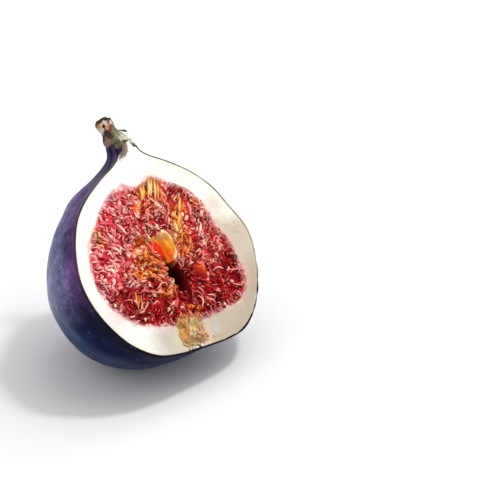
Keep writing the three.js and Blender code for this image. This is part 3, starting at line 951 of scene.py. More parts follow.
RING_SHARES = np.array([0.0, 0.1, 0.24, 0.4, 0.56, 0.72, 0.86, 0.96])  # where along a floret its rings stand
FLORET_SIDES = 8
NEARLY_UP = np.array([0.13, 0.07, 1.0])  # out of the face, but not quite along any floret
PLACES_REACH = 24  # florets are strewn this far to each side
ROW_STEP = 0.866  # the rows of a triangular grid stand closer together than its places


def floret_girths(club):
    """Widths along each floret: an even strand at club 0, and a thin stalk with a drop at club 1."""
    t = RING_SHARES[None, :]
    end = np.sqrt(np.clip(1 - (np.clip(t - 0.72, 0, 1) / 0.28) ** 2, 0, 1))
    strand = (0.6 + 0.4 * np.sin(math.pi * t)) * end
    drop = (0.35 + 0.65 * smoothstep(t, 0.2, 0.66)) * end
    return strand + (drop - strand) * club[:, None]


def florets(roots, towards, lengths, widths, tints, curl=0.2, wave=0.1, arch=0.15, club=0.5):
    """Round-ended florets, one a row, that wind in the face and arch out of it.

    tints gives each floret three colours: of its root, darkened as painted shade, of its sides, and of its
    crest, a painted highlight on the side that faces out of the face.
    """
    count, rings, sides = len(roots), len(RING_SHARES), FLORET_SIDES
    t = RING_SHARES[None, :, None]
    level = unit(np.cross(towards, NEARLY_UP))
    out = np.cross(level, towards)
    curl = rng.normal(0, curl, (count, 1))[:, None]
    wave = rng.normal(0, wave, (count, 1))[:, None]
    arch = rng.normal(arch, 0.08, (count, 1))[:, None]
    sway = curl * np.sin(math.pi * t * 0.8) + wave * np.sin(2 * math.pi * t)
    shape = towards[:, None] * t + level[:, None] * sway
    shape = shape + out[:, None] * arch * np.sin(math.pi * t)
    line = roots[:, None] + lengths[:, None, None] * shape
    heading = unit(np.gradient(line, axis=1))
    side = unit(np.cross(heading, NEARLY_UP))
    above = np.cross(side, heading)
    girth = floret_girths(np.clip(rng.normal(club, 0.25, count), 0, 1))
    turn = np.linspace(0, 2 * math.pi, sides, endpoint=False)[None, None, :, None]
    reach = 0.5 * widths[:, None, None, None] * girth[:, :, None, None]
    circle = side[:, :, None] * np.cos(turn) + 0.85 * above[:, :, None] * np.sin(turn)
    around = line[:, :, None] + reach * circle
    tip = line[:, -1] + heading[:, -1] * lengths[:, None] * 0.05
    points = np.concatenate([around.reshape(count, -1, 3), roots[:, None], tip[:, None]], axis=1)
    shaded_root_tint, side_tint, highlight_tint = (tints[:, None, None, i] for i in range(3))
    t = t[..., None]
    # painted shade: the root end takes the dark root colour
    tint = shaded_root_tint + (side_tint - shaded_root_tint) * smoothstep(t, 0.0, 0.6)
    # painted highlight: the crest, on the side that faces out of the face, takes the pale crest colour
    tint = tint + (highlight_tint - tint) * smoothstep(np.sin(turn), 0.1, 1.0) * smoothstep(t, 0.05, 0.45)
    tint = np.concatenate([tint.reshape(count, -1, 3), tints[:, :1], tints[:, 1:2]], axis=1)
    size = rings * sides + 2
    start = (np.arange(count) * size)[:, None, None]
    quads = (grid_faces(rings, sides, True)[None] + start).reshape(-1, 4)
    low = fan(size - 2, np.arange(sides), True)
    high = fan(size - 1, (rings - 1) * sides + np.arange(sides))
    triangles = (np.vstack([low, high])[None] + start).reshape(-1, 3)
    return points.reshape(-1, 3), quads, triangles, tint.reshape(-1, 3)


def one_floret(root, towards, length, width, tints, *bends):
    """A single floret. tints are three web colours."""
    tints = [colour(c) for c in tints]
    rows = (np.array([numbers]) for numbers in (root, towards, length, width, tints))
    return florets(*rows, *bends)


def joined(parts):
    """Several groups of florets or petals as one."""
    points, quads, triangles, tints = [], [], [], []
    start = 0
    for p, q, t, c in parts:
        points.append(p)
        quads.append(np.asarray(q).reshape(-1, 4) + start)
        triangles.append(np.asarray(t).reshape(-1, 3) + start)
        tints.append(c)
        start += len(p)
    return np.vstack(points), np.vstack(quads), np.vstack(triangles), np.vstack(tints)


def scattered(step, jitter=0.5):
    """Places on a jittered triangular grid over the face."""
    rows = []
    for i, y in enumerate(np.arange(-PLACES_REACH, PLACES_REACH, step * ROW_STEP)):
        x = np.arange(-PLACES_REACH, PLACES_REACH, step) + (i % 2) * step / 2
        rows.append(stack(x, y))
    places = np.vstack(rows)
    return places + (rng.random(places.shape) - 0.5) * 2 * jitter * step


def pick(tints, count):
    """Random colours from a palette of web colours, a little lighter or darker."""
    palette = np.array([colour(c) for c in tints])
    return palette[rng.integers(len(tints), size=count)] * rng.uniform(0.88, 1.12, (count, 1))


def flow(x, y):
    """The way that the florets lie at a place, as an angle in the face: towards the hollow, but winding."""
    inwards = np.arctan2(HOLLOW[1] - y, HOLLOW[0] - x)
    return inwards + 0.6 * noise(flat(x, y), 4, 51, 2)


def headings(places, spread, lift_low, lift_high):
    """Directions along the flow, swung by chance and lifted out of the bed."""
    angle = flow(*places.T) + rng.normal(0, spread, len(places))
    lift = rng.uniform(lift_low, lift_high, len(places))
    return stack(np.cos(angle) * np.cos(lift), np.sin(angle) * np.cos(lift), np.sin(lift))


def bed_at(places):
    """The height of the bed under each place."""
    x, y = places.T
    return face_height(x, y) + bed_height(x, y, beyond_pulp(x, y))


HOLLOW_CLEAR = 1.12  # the layers of florets keep this far from the hollow, whose edge is 1
ROOT_BACK = 0.45  # the share of a floret's length that lies behind the place it is set at

# Each palette: the foot of a floret, darkened as painted shade, its sides, and its crest, paled as a painted
# highlight.
ROSE = (
    ["#86020f", "#960816", "#7a020c"],
    ["#d42430", "#de3c3c", "#c41c28", "#e4524c", "#b41022"],
    ["#ffc6b0", "#ffa896", "#ffe2cc", "#fc8c7c", "#ffd0ac"],
)
CRIMSON = (
    ["#54000a", "#62000a", "#4a0006"],
    ["#98000c", "#aa060e", "#8a0006", "#be1014", "#a2030b"],
    ["#e04038", "#ec7460", "#c81c20", "#b80c14", "#f49c84", "#c01018"],
)
ORANGE = (
    ["#841c06", "#982c0a", "#741004"],
    ["#e05a18", "#ea7628", "#cc400e", "#e46a30", "#c42c0a"],
    ["#ffb868", "#ffa050", "#ffd498", "#f88c50"],
)
LONG_FLORETS = (
    CRIMSON[0],
    ["#cc2830", "#d84444", "#b41420", "#e46c60"],
    ["#f29c84", "#fcbca4", "#e06058", "#cc343c", "#f6b098"],
)
COOL = ("#8c001c", "#dc4460", "#ffc4c8")  # what rose turns to at the upper left
WALL = (["#f3c8be"], ["#f0a4a8", "#e890a4", "#f6bcb4"], ["#ffe4da", "#ffd0c8"])  # beside the white wall

ORANGE_PATCHES = [  # x, y, half width, half height and strength of each patch of orange florets
    (-5.5, -1.5, 4.6, 3.0, 0.95),
    (-4.4, 2.6, 3.0, 3.2, 0.85),
    (6.4, 1.5, 3.0, 3.0, 0.8),
    (1.2, 15.4, 3.2, 1.7, 0.95),
    (5.2, 15.8, 2.6, 1.2, 0.95),
    (-0.8, 11.5, 3.0, 1.3, 0.7),
    (7.4, 7.0, 1.7, 4.6, 0.9),
    (9.6, 9.6, 1.2, 2.4, 0.9),
    (14.0, 9.4, 1.2, 1.0, 0.7),
    (-3.2, -7.6, 3.0, 1.6, 0.7),
    (1.0, -13.4, 3.4, 1.8, 0.65),
    (-15.5, 7.9, 1.0, 2.0, 0.75),
    (-11.9, -7.6, 1.0, 2.4, 0.55),
]
CALM_PATCHES = [  # x, y, half width and half height of each smooth patch of deep crimson
    (-14.5, -6.1, 1.3, 1.3),
    (-5.7, -9.9, 1.2, 2.1),
    (13.5, -6.3, 1.5, 1.5),
    (7.6, 10.6, 1.0, 2.1),
    (18.3, -3.8, 0.7, 1.4),
    (17.2, -0.9, 0.9, 0.9),
    (17.0, -9.2, 1.5, 1.6),
    (-9.5, 1.5, 1.2, 0.9),
]
LOBE = (8.0, -5.6)  # the middle of the orange-red lobe beside the hollow
LOBE_SIZE = (1.9, 2.3)


def orange_share(x, y):
    """How likely the florets at a place are to be orange."""
    share = 0.85 * fade(from_hollow(x, y), 1.4, 2.0) * (1 - right_of_hollow(x, y))
    for *centre, across, along, strength in ORANGE_PATCHES:
        share = np.maximum(share, strength * fade(in_ellipse(x, y, centre, (across, along)), 0.7, 1.25))
    return share


def calm(x, y):
    """1 in the smooth crimson patches and 0 outside them."""
    share = 0
    ragged = 0.25 * noise(flat(x, y), 1.2, 58, 2)
    for *centre, across, along in CALM_PATCHES:
        far = in_ellipse(x, y, centre, (across, along)) + ragged
        share = np.maximum(share, fade(far, 0.7, 1.2))
    return share


def cool_share(x, y):
    """How much the rose turns to a cooler pink: towards the upper left."""
    return 0.4 * smoothstep(-x + 0.5 * y + 2 * noise(flat(x, y), 4, 55, 2), 2, 16)[..., None]


def deep_share(x, y):
    """How deep the red is: rose at the top and the left, crimson towards the eye and the right."""
    return smoothstep(-y + 0.12 * x + 3.5 * noise(flat(x, y), 5, 52, 2), -0.5, 9)


def painted_light_and_shade(x, y):
    """Painted light and shade on the florets: painted shade in the dips between clusters, and painted light
    towards the upper left.
    """
    clusters = 0.66 + 0.42 * blotches(flat(x, y), 2.6, 53, -0.7, 0.4, 2)
    return clusters[..., None] * (1 + 0.4 * cool_share(x, y))


def floret_tints(places, highlight_share):
    """The three colours of each floret, by its place: its foot, in painted shade, its sides, and its crest, a
    painted highlight. The share given is how much of that painted highlight shows.
    """
    x, y = places.T
    count = len(places)
    deep = (deep_share(x, y) > rng.random(count))[:, None]
    orange = (orange_share(x, y) > rng.random(count))[:, None]
    near_wall = smoothstep(beyond_pulp(x, y), -1.9, -0.3)[:, None] * rng.uniform(0.5, 1, (count, 1))
    made = []
    for rose, crimson, warm, wall, cool in zip(ROSE, CRIMSON, ORANGE, WALL, COOL):
        pink = pick(rose, count)
        pink = pink + (colour(cool) - pink) * cool_share(x, y)
        tint = np.where(deep, pick(crimson, count), pink)
        tint = np.where(orange, pick(warm, count), tint)
        made.append(tint + (pick(wall, count) - tint) * near_wall)
    shaded_foot, sides, painted_highlight = made
    # painted highlight: how much of the pale crest each floret shows
    share = highlight_share * rng.random((count, 1)) ** 0.7 * np.where(deep & ~orange, 0.45, 1.0)
    painted_highlight = sides + (painted_highlight - sides) * np.minimum(share, 1)
    return np.stack([shaded_foot, sides, painted_highlight], axis=1) * painted_light_and_shade(x, y)[:, None]


def rooted(places, towards, lengths, rise):
    """The roots of florets whose middles stand at the places, kept inside the pulp's edge."""
    back = places - towards[:, :2] * lengths[:, None] * ROOT_BACK
    outside = beyond_pulp(*back.T) > -0.1
    back[outside] = places[outside]
    from_edge = -beyond_pulp(*back.T)
    clusters = 0.45 * noise(flat(*back.T), 2.4, 54, 2)
    return np.c_[back, bed_at(back) + (rise + clusters) * smoothstep(from_edge, -0.3, 1.6)]


def layer_of_florets(
    step, length, width, lift, spread, rise, highlight_share, keep, curl=0.2, wave=0.1, club=0.4, tip=0.0
):
    """One layer of florets over the whole pulp, but for the hollow, the flap and the lobe."""
    places = scattered(step)
    x, y = places.T
    places = places[
        (beyond_pulp(x, y) < -0.35)
        & (rng.random(len(places)) < keep)
        & (in_flap(x, y) > 0.95)
        & (in_ellipse(x, y, LOBE, LOBE_SIZE) > 1.0)
        & (calm(x, y) < 0.5)
        & (from_hollow(x, y) > HOLLOW_CLEAR)
    ]
    count = len(places)
    towards = headings(places, spread, *lift)
    lengths = rng.uniform(*length, count)
    roots = rooted(places, towards, lengths, rise)
    ends = roots[:, :2] + towards[:, :2] * lengths[:, None]
    clear = np.minimum(from_hollow(*ends[:, :2].T), from_hollow(*roots[:, :2].T))
    stay = (clear > HOLLOW_CLEAR) & (beyond_pulp(*ends[:, :2].T) < -0.1)
    by_wall = smoothstep(beyond_pulp(*places.T), -1.6, -0.4)
    widths = rng.uniform(*width, count) * (1 - 0.35 * by_wall)
    tints = floret_tints(places, highlight_share)
    # painted glints: tip pales the painted highlight on each crest towards cream
    tints[:, 2] += (colour("#ffe2ce") - tints[:, 2]) * tip
    chosen = (numbers[stay] for numbers in (roots, towards, lengths, widths, tints))
    return florets(*chosen, curl=curl, wave=wave, club=club)


MASS_SPAN = ((-22.5, 22), (-17, 19))  # across and along
MASS_CELL = 0.12  # the mass of florets is a grid this fine
MASS_BOTTOM = -8.0  # the z under it where it closes
MASS_STEPS = 7
MASS_REACH = 0.85  # how far along the flow its noise is drawn out, either way


def flow_lines(x, y):
    """Places, and points along the flow that runs through them, either way."""
    lines = [(x, y)]
    for way in (-1, 1):
        px, py = x, y
        for _ in range(MASS_STEPS):
            angle = flow(px, py) + 0.9 * noise(flat(px, py), 1.3, 56, 1)
            px = px + way * MASS_REACH / MASS_STEPS * np.cos(angle)
            py = py + way * MASS_REACH / MASS_STEPS * np.sin(angle)
            lines.append((px, py))
    return lines


def drawn_out(lines, size, seed):
    """Noise drawn out along the flow, so that its lumps turn to winding strands, with a spread of 1."""
    total = sum(noise(flat(x, y), size, seed, 1) for x, y in lines)
    return total / total.std()


def blended(palette, share):
    """Colours from a palette, each fading into the next as the share goes from 0 to 1."""
    stops = np.array([colour(c) for c in palette])
    at = np.clip(share, 0, 0.999) * (len(stops) - 1)
    low = np.floor(at).astype(int)
    return mix(stops[low], stops[low + 1], smoothstep(at - low, 0.2, 0.8))


def lobe_tint(x, y):
    """The lobe beside the hollow: dark red at the lower left, deepened as painted shade, then orange-red, and
    pale at the right, a painted highlight.
    """
    low = LOBE[0] * 0.6 + LOBE[1]
    tint = mix("#980a0c", "#e44816", smoothstep(0.6 * x + y, low - 1.1, low + 1.1))
    high = LOBE[0] + 0.4 * LOBE[1]
    return mix(tint, "#ffc890", smoothstep(x + 0.4 * y, high + 0.9, high + 1.5))


def mass_tints(x, y, strand, pale, choice):
    """The mass's colours: creases darkened as painted shade, rose, crimson or orange lobes, and some crests
    paled as painted highlights.
    """
    deep = smoothstep(deep_share(x, y) + 0.16 * choice, 0.35, 0.65)
    orange = smoothstep(orange_share(x, y) + 0.16 * choice, 0.3, 0.55)
    wall = smoothstep(beyond_pulp(x, y) + 0.25 * choice, -1.7, -0.2)
    vary = 0.5 + 0.5 * noise(flat(x, y), 1.1, 57, 2)
    made = []
    for rose, crimson, warm, at_wall, cool in zip(ROSE, CRIMSON, ORANGE, WALL, COOL):
        pink = blended(rose, vary)
        pink = pink + (colour(cool) - pink) * cool_share(x, y)
        tint = mix(mix(pink, blended(crimson, vary), deep), blended(warm, vary), orange)
        made.append(mix(tint, at_wall[0], 0.8 * wall))
    shaded_foot, sides, painted_highlight = made
    height = np.abs(strand)
    smooth = calm(x, y)
    # painted shade: the low parts of the lobes take the dark foot colour
    tint = mix(shaded_foot, sides, smoothstep(height, 0.05, 0.6))
    # painted highlight: the high crests take the pale crest colour
    light = smoothstep(height, 0.6, 1.2) * smoothstep(pale, -0.2, 0.9) * mix(0.9, 0.45, deep * (1 - orange))
    tint = mix(tint, painted_highlight, light * (1 - smooth))
    # painted light and shade of the clusters, and painted shade that darkens the creases
    tint = tint * painted_light_and_shade(x, y) * (0.55 + 0.45 * smoothstep(height, 0.0, 0.35))[..., None]
    tint = mix(tint, mix("#b00018", "#8a0010", smoothstep(choice, -1, 1)), 0.6 * smooth)
    return mix(tint, lobe_tint(x, y), fade(in_ellipse(x, y, LOBE, LOBE_SIZE) + 0.12 * choice, 0.6, 1.1))


def build_mass():
    """The florets' mass, whose lobes wind towards the hollow."""
    x, y = face_grid(*MASS_SPAN, MASS_CELL)
    from_edge = -beyond_pulp(x, y)
    lines = flow_lines(x, y)
    strand, pale, choice = drawn_out(lines, 0.56, 61), drawn_out(lines, 1.0, 63), drawn_out(lines, 1.6, 64)
    lobes = smoothstep(np.abs(strand), 0.0, 1.0)
    relief = 0.44 * lobes + 0.1 * pale + 0.12 * choice + 0.4 * noise(flat(x, y), 2.6, 65, 2)
    relief = relief * (1 - 0.7 * fade(from_hollow(x, y), 0.9, 1.3)) * (1 - 0.4 * calm(x, y))
    lobe = fade(in_ellipse(x, y, LOBE, LOBE_SIZE), 0.3, 1.15)
    relief = relief * (1 - 0.6 * lobe) + 0.9 * lobe
    z = face_height(x, y) + bed_height(x, y, -from_edge) + (0.3 + relief) * smoothstep(from_edge, -0.1, 1.5)
    z = z - 0.3 * fade(from_edge, -0.3, 0.1)
    z = z - 0.6 * fade(in_flap(x, y), 0.75, 1.0)
    tint = mass_tints(x, y, strand, pale, choice)
    # painted shade: dark red beside the hollow at its lower right, and nearly black in the hollow
    reach = from_hollow(x, y) + 0.06 * choice
    tint = mix(tint, "#640808", 0.9 * fade(reach, 1.2, 1.7) * right_of_hollow(x, y))
    tint = mix(tint, "#3a0810", fade(reach, 0.9, 1.15))
    made = sheet_solid(x, y, z, tint, from_edge > -0.35, MASS_BOTTOM)
    wet_piece("floret_mass", made, "mass", (0.12, 0.2, 0.1))


FLORET_LAYERS = {  # step, length, width, lift, spread, rise, share of painted highlight, keep, curl, wave, club and tip, which pales the painted highlight to a painted glint
    "wide_florets": (1.2, (1.2, 2.4), (0.5, 0.8), (0.0, 0.4), 0.7, 0.3, 0.9, 0.34),
    "fine_florets": (1.0, (0.9, 2.2), (0.32, 0.56), (0.0, 0.5), 0.9, 0.45, 1.1, 0.5, 0.26, 0.14),
    # painted glints: small upright florets whose crests are painted near white
    "painted_glint_florets": (0.9, (0.8, 1.3), (0.24, 0.38), (1.0, 2.4), 1.5, 0.25, 1.0, 0.42, 0.1, 0.05, 0.3, 0.6),
}


def build_pulp():
    """Single florets in three layers, which stand out of the mass."""
    for name, settings in FLORET_LAYERS.items():
        wet_piece(name, layer_of_florets(*settings), name, (0.12, 0.16, 0.13))


STRANDS = [  # x, y and rise of the root, x and y of the end, width, wind and colours of each lone strand: its foot, darker as painted shade, its sides, and its crest, paler as a painted highlight
    ((3.6, 17.0, 0.7), (2.0, 13.5), 0.65, 0.03, ("#b07c20", "#e0b048", "#f4dc94")),
    ((4.5, 17.0, 0.7), (2.9, 13.0), 0.7, 0.03, ("#c87418", "#f4ac50", "#ffdc94")),
    ((5.3, 16.8, 0.7), (3.8, 12.4), 0.7, 0.03, ("#cc8830", "#f0bc5c", "#ffe0a0")),
    ((5.9, 16.2, 0.7), (4.6, 11.7), 0.65, 0.03, ("#b85410", "#ea842c", "#ffb464")),
    ((6.1, 15.4, 0.7), (5.1, 10.9), 0.6, 0.03, ("#8c3c0c", "#cc6820", "#ee9848")),
    ((3.2, 16.3, 0.9), (1.8, 13.0), 0.7, 0.05, ("#d07818", "#fcc040", "#ffe080")),
    ((1.9, 13.3, 0.9), (4.9, 8.9), 0.6, 0.04, ("#e8b050", "#f4d088", "#fff0c0")),
    ((1.3, 16.3, 0.7), (0.6, 13.0), 0.7, 0.05, ("#c05c14", "#f09030", "#ffc868")),
    ((0.4, 16.0, 0.7), (-0.2, 12.6), 0.85, 0.1, ("#c05c14", "#f09030", "#ffd080")),
    ((10.6, 11.4, 0.7), (8.8, 7.6), 0.85, 0.06, ("#b85010", "#f08c38", "#ffc078")),
    ((8.9, 8.6, 0.7), (7.0, 4.6), 0.95, 0.06, ("#b84c10", "#ee8430", "#ffb868")),
    ((6.0, 6.6, 1.0), (5.2, 3.6), 0.95, 0.05, ("#d88018", "#f8b030", "#ffdc70")),
    ((-2.6, 5.6, 0.9), (-1.8, 3.0), 0.6, 0.1, ("#e09838", "#f8d080", "#fff0c4")),
    ((-3.3, 4.8, 0.8), (-2.7, 2.4), 0.55, 0.1, ("#e09838", "#f4c070", "#ffe8b4")),
    ((-9.8, 9.6, 0.9), (-7.6, 6.6), 0.6, 0.05, ("#d86860", "#f8b098", "#ffe8cc")),
    ((-13.6, 5.2, 0.9), (-11.4, 2.6), 0.65, 0.05, ("#d86860", "#f8b098", "#ffe0c4")),
    ((-12.8, -10.0, 0.8), (-11.6, -5.9), 0.42, 0.06, ("#b03c18", "#e47c40", "#f8bc88")),
    ((-11.5, -10.6, 0.8), (-10.4, -6.7), 0.42, 0.06, ("#b03c18", "#e88850", "#fcc890")),
    ((13.4, 4.6, 0.8), (11.0, 1.6), 0.6, 0.08, ("#d86860", "#f8b8a8", "#ffeede")),
]


def lone_strands():
    """The lone long strands that stand out at the top and beside the flap."""
    groups = []
    for (*start, rise), end, width, wind, tints in STRANDS:
        start = np.array(start)
        towards = np.array(end) - start
        length = np.linalg.norm(towards)
        towards = towards / length
        low, high = bed_at(np.array([start, end]))
        climb = np.clip((high - low) / length, -0.15, 0.15)
        root, heading = [*start, low + rise], unit(np.array([*towards, climb]))
        groups.append(one_floret(root, heading, length, width, tints, wind, wind / 2, 0.06, 0.0))
    return groups


def build_long_florets():
    """Long pale florets that curl up from the wall at the eye end, and the lone strands."""
    places = scattered(1.8)
    x, y = places.T
    places = places[(beyond_pulp(x, y) < -1.0) & (y < -6) & (rng.random(len(places)) < 0.36)]
    count = len(places)
    lengths = rng.uniform(2.0, 3.8, count)
    towards = headings(places, 0.3, 0.0, 0.2)
    roots = rooted(places, towards, lengths, 0.75)
    ends = roots + towards * lengths[:, None]
    stay = np.minimum(from_hollow(*ends[:, :2].T), from_hollow(*places.T)) > 1.15
    tints = np.stack([pick(palette, count) for palette in LONG_FLORETS], axis=1)
    widths = rng.uniform(0.35, 0.55, stay.sum())
    low = florets(roots[stay], towards[stay], lengths[stay], widths, tints[stay], 0.14, 0.09, 0.1, 0.0)
    wet_piece("long_florets", joined([low, *lone_strands()]), "long_florets", (0.12, 0.18, 0.15))


def build_seeds():
    """A few pale seeds that show between the florets."""
    places = scattered(4.2, 0.6)
    x, y = places.T
    places = places[(beyond_pulp(x, y) < -1.2) & (in_flap(x, y) > 1.3) & (from_hollow(x, y) > 1.5)]
    places = places[rng.random(len(places)) < 0.6]
    count = len(places)
    towards = headings(places, 1.2, 0.0, 0.4)
    lengths = rng.uniform(1.0, 1.4, count)
    roots = np.c_[places, bed_at(places) + 0.75]
    tint = pick(["#f0bc90", "#f6d6ac", "#f0b094"], count)
    # painted shade at each seed's foot and a painted highlight at its crest
    tints = np.stack([tint * 0.7, tint * 0.9, tint * 1.15], axis=1)
    made = florets(roots, towards, lengths * 0.85, lengths * 0.65, tints, 0.0, 0.0, 0.0, 0.35)
    wet_piece("seeds", made, "seeds", (0.15, 0.25, 0.2))


# ---------------------------------------------------------------- heart

PETAL_ROWS = 16
PETAL_COLUMNS = 12
FLAP_MIDDLE = (0.9, 2.0)
FLAP_OUTLINE = [  # the big flap over the hollow, seen from the face
    (3.7, 2.4), (3.6, 0.4), (2.8, -1.3), (0.9, -1.7), (-0.9, -1.2), (-1.9, 1.0), (-1.6, 3.6),
    (0.2, 5.2), (2.3, 5.3), (3.4, 4.1),
]
FLAP_ROUND = smooth_curve(FLAP_OUTLINE + FLAP_OUTLINE[:1], 72)[:-1]
FLAP_ANGLES = np.arctan2(FLAP_ROUND[:, 1] - FLAP_MIDDLE[1], FLAP_ROUND[:, 0] - FLAP_MIDDLE[0])
FLAP_REACH = np.hypot(FLAP_ROUND[:, 0] - FLAP_MIDDLE[0], FLAP_ROUND[:, 1] - FLAP_MIDDLE[1])


def in_flap(x, y):
    """0 in the middle of the flap and 1 on its edge."""
    order = np.argsort(FLAP_ANGLES)
    angle = np.arctan2(y - FLAP_MIDDLE[1], x - FLAP_MIDDLE[0])
    reach = np.interp(angle, FLAP_ANGLES[order], FLAP_REACH[order], period=2 * math.pi)
    return np.hypot(x - FLAP_MIDDLE[0], y - FLAP_MIDDLE[1]) / reach


def flap_tint(x, y):
    """Orange, with a red fold at the left, darker low down as painted shade, ochre above, and a yellow edge,
    cream at the right, which is a painted highlight.
    """
    spots = flat(x, y)
    across = x + 0.22 * y + 0.12 * noise(spots * [1, 0.5, 1], 0.7, 81, 2)
    tint = mix("#e8500a", "#f47e14", blotches(spots * [1, 0.4, 1], 0.6, 87, -0.4, 0.5, 2))
    tint = mix(tint, "#f0a02c", smoothstep(0.9 * across + 0.5 * y, 1.2, 2.8))
    tint = mix(tint, "#d49854", smoothstep(0.2 * across + y + 0.4 * noise(spots, 0.8, 82), 3.0, 4.4))
    tint = mix(tint, "#b87838", 0.7 * fade(in_ellipse(x, y, (1.0, 3.5), (0.8, 0.9)), 0.4, 1.2))
    # the red fold, partly painted shade, darkest low down
    red = fade(in_ellipse(across, y, (-0.5, 1.0), (1.15, 2.9)) + 0.12 * noise(spots, 0.8, 83), 0.6, 1.05)
    tint = mix(tint, mix("#7c0402", "#dc1404", smoothstep(y + 0.5 * across, -1.6, 0.6)), 0.97 * red)
    tint = mix(tint, "#ee7038", 0.6 * smoothstep(-across, 1.2, 1.8) * smoothstep(y, 0.6, 1.8))
    # painted highlight: the raised right edge is tinted yellow-cream
    edge = smoothstep(in_flap(x, y), 0.66, 0.88) * smoothstep(x + 0.2 * y, 1.4, 2.6)
    return mix(tint, "#fff0b4", 0.9 * edge)


def build_flap(rows=22):
    """The flap as one thick cupped petal, its folds running down it and its right edge raised."""
    share = np.sqrt(np.linspace(0.001, 1, rows))[:, None]
    x = FLAP_MIDDLE[0] + share * (FLAP_ROUND[:, 0] - FLAP_MIDDLE[0])
    y = FLAP_MIDDLE[1] + share * (FLAP_ROUND[:, 1] - FLAP_MIDDLE[1])
    ragged = 1 + 0.07 * noise(flat(*FLAP_ROUND.T), 0.9, 84, 2) * share**4
    x, y = FLAP_MIDDLE[0] + (x - FLAP_MIDDLE[0]) * ragged, FLAP_MIDDLE[1] + (y - FLAP_MIDDLE[1]) * ragged
    spots, across = flat(x, y), x + 0.22 * y
    dome = 0.55 * (1 - share**2)
    right = 0.75 * smoothstep(x + 0.25 * y, 0.6, 3.6)
    fold = -0.7 * hill(across, 0.2, 0.7) * (1 - share**3)
    ridges = 0.16 * np.cos(4.2 * across + 0.8 * noise(spots, 1.6, 85, 2)) + 0.1 * noise(spots, 0.5, 86, 2)
    z = -0.25 + dome + right + fold + ridges - 0.5 * share**8
    upper = stack(x, y, z).reshape(-1, 3)
    count, sides = len(upper), len(FLAP_ROUND)
    lower = upper - [0, 0, 0.5] - stack(0, 0, 1.2 * np.repeat(1 - share[:, 0] ** 2, sides))
    sheet = grid_faces(rows, sides, True)
    ring = np.arange(sides)
    rim = (rows - 1) * sides + ring
    after = np.roll(rim, -1)
    wall = stack(rim, after, after + count, rim + count)
    caps = np.vstack([fan(2 * count, ring), fan(2 * count + 1, count + ring, True)])
    points = np.vstack([upper, lower, [upper[:sides].mean(axis=0), lower[:sides].mean(axis=0)]])
    tint = flap_tint(points[:, 0], points[:, 1])
    return points, np.vstack([sheet, sheet[:, ::-1] + count, wall[:, ::-1]]), caps[:, ::-1], tint


def blade(root, towards, out, length, width, cup, curl, thickness, tints):
    """A thick petal: a leaf shape from its root towards its tip, cupped across and curled along."""
    rows, columns = PETAL_ROWS, PETAL_COLUMNS
    towards = unit(np.array(towards, float))
    side = unit(np.cross(towards, out))
    out = np.cross(side, towards)
    along = np.linspace(0, 1, rows)[:, None]
    across = np.linspace(-1, 1, columns)[None, :]
    shape = np.sin(math.pi * np.clip(along * 0.86 + 0.14, 0, 1)) ** 0.6
    sideways = across * shape * width / 2
    lift = cup * (across * shape) ** 2 + curl * along**2
    line = np.array(root) + towards * (along * length)[..., None]
    line = line + side * sideways[..., None] + out * lift[..., None]
    ridges = 0.1 * np.cos(across * 9 + 2 * along + root[0]) * np.minimum(width / 2.5, 1)
    line = line + out * (0.14 * noise(line, 0.9, 61, 2) + ridges)[..., None]
    line = line + side * (0.3 * width * noise(line * [1, 1, 0], 3.5, 62, 1) * along)[..., None]
    half = (thickness * (1 - 0.75 * across**2) * (1 - 0.6 * along**4) / 2)[..., None]
    points = np.vstack([(line + out * half).reshape(-1, 3), (line - out * half).reshape(-1, 3)])
    count = rows * columns
    sheet = grid_faces(rows, columns, False)
    border = np.r_[
        np.arange(columns),
        np.arange(1, rows) * columns + columns - 1,
        (rows - 1) * columns + np.arange(columns - 2, -1, -1),
        np.arange(rows - 2, 0, -1) * columns,
    ]
    after = np.roll(border, -1)
    wall = stack(border, border + count, after + count, after)
    tint = mix(*tints[:2], smoothstep(along + 0.25 * across, 0.1, 0.95))
    tint = mix(tint, tints[2], smoothstep(across + 0.6 * along - 0.2, 0.55, 1.0))
    return points, np.vstack([sheet, sheet[:, ::-1] + count, wall]), [], np.tile(tint.reshape(-1, 3), (2, 1))


PETALS = [  # root, direction, outer side, length, width, cup, curl, thickness and colours of each petal
    (
        (-3.2, -2.0, -0.7), (-0.5, 1, 0.15), (0.2, 0, 1),
        4.6, 2.0, -0.5, 0.2, 0.5, ("#d0480f", "#f49430", "#fbc474"),
    ),
    (
        (4.4, 0.2, -0.8), (0.1, 1, 0.14), (-0.3, 0, 1),
        5.2, 1.8, -0.4, 0.2, 0.5, ("#d8541a", "#f4924c", "#fdc48c"),
    ),
    (
        (-1.6, -6.2, -0.7), (-0.5, 1, 0.15), (0, 0, 1),
        3.4, 1.8, -0.4, 0.1, 0.5, ("#c8440f", "#f49430", "#fbc070"),
    ),
    (
        (5.6, -2.4, -0.8), (0.1, 1, 0.2), (-0.2, 0, 1),
        3.4, 2.0, -0.5, 0.1, 0.6, ("#c83414", "#ec7c44", "#fbac78"),
    ),
]


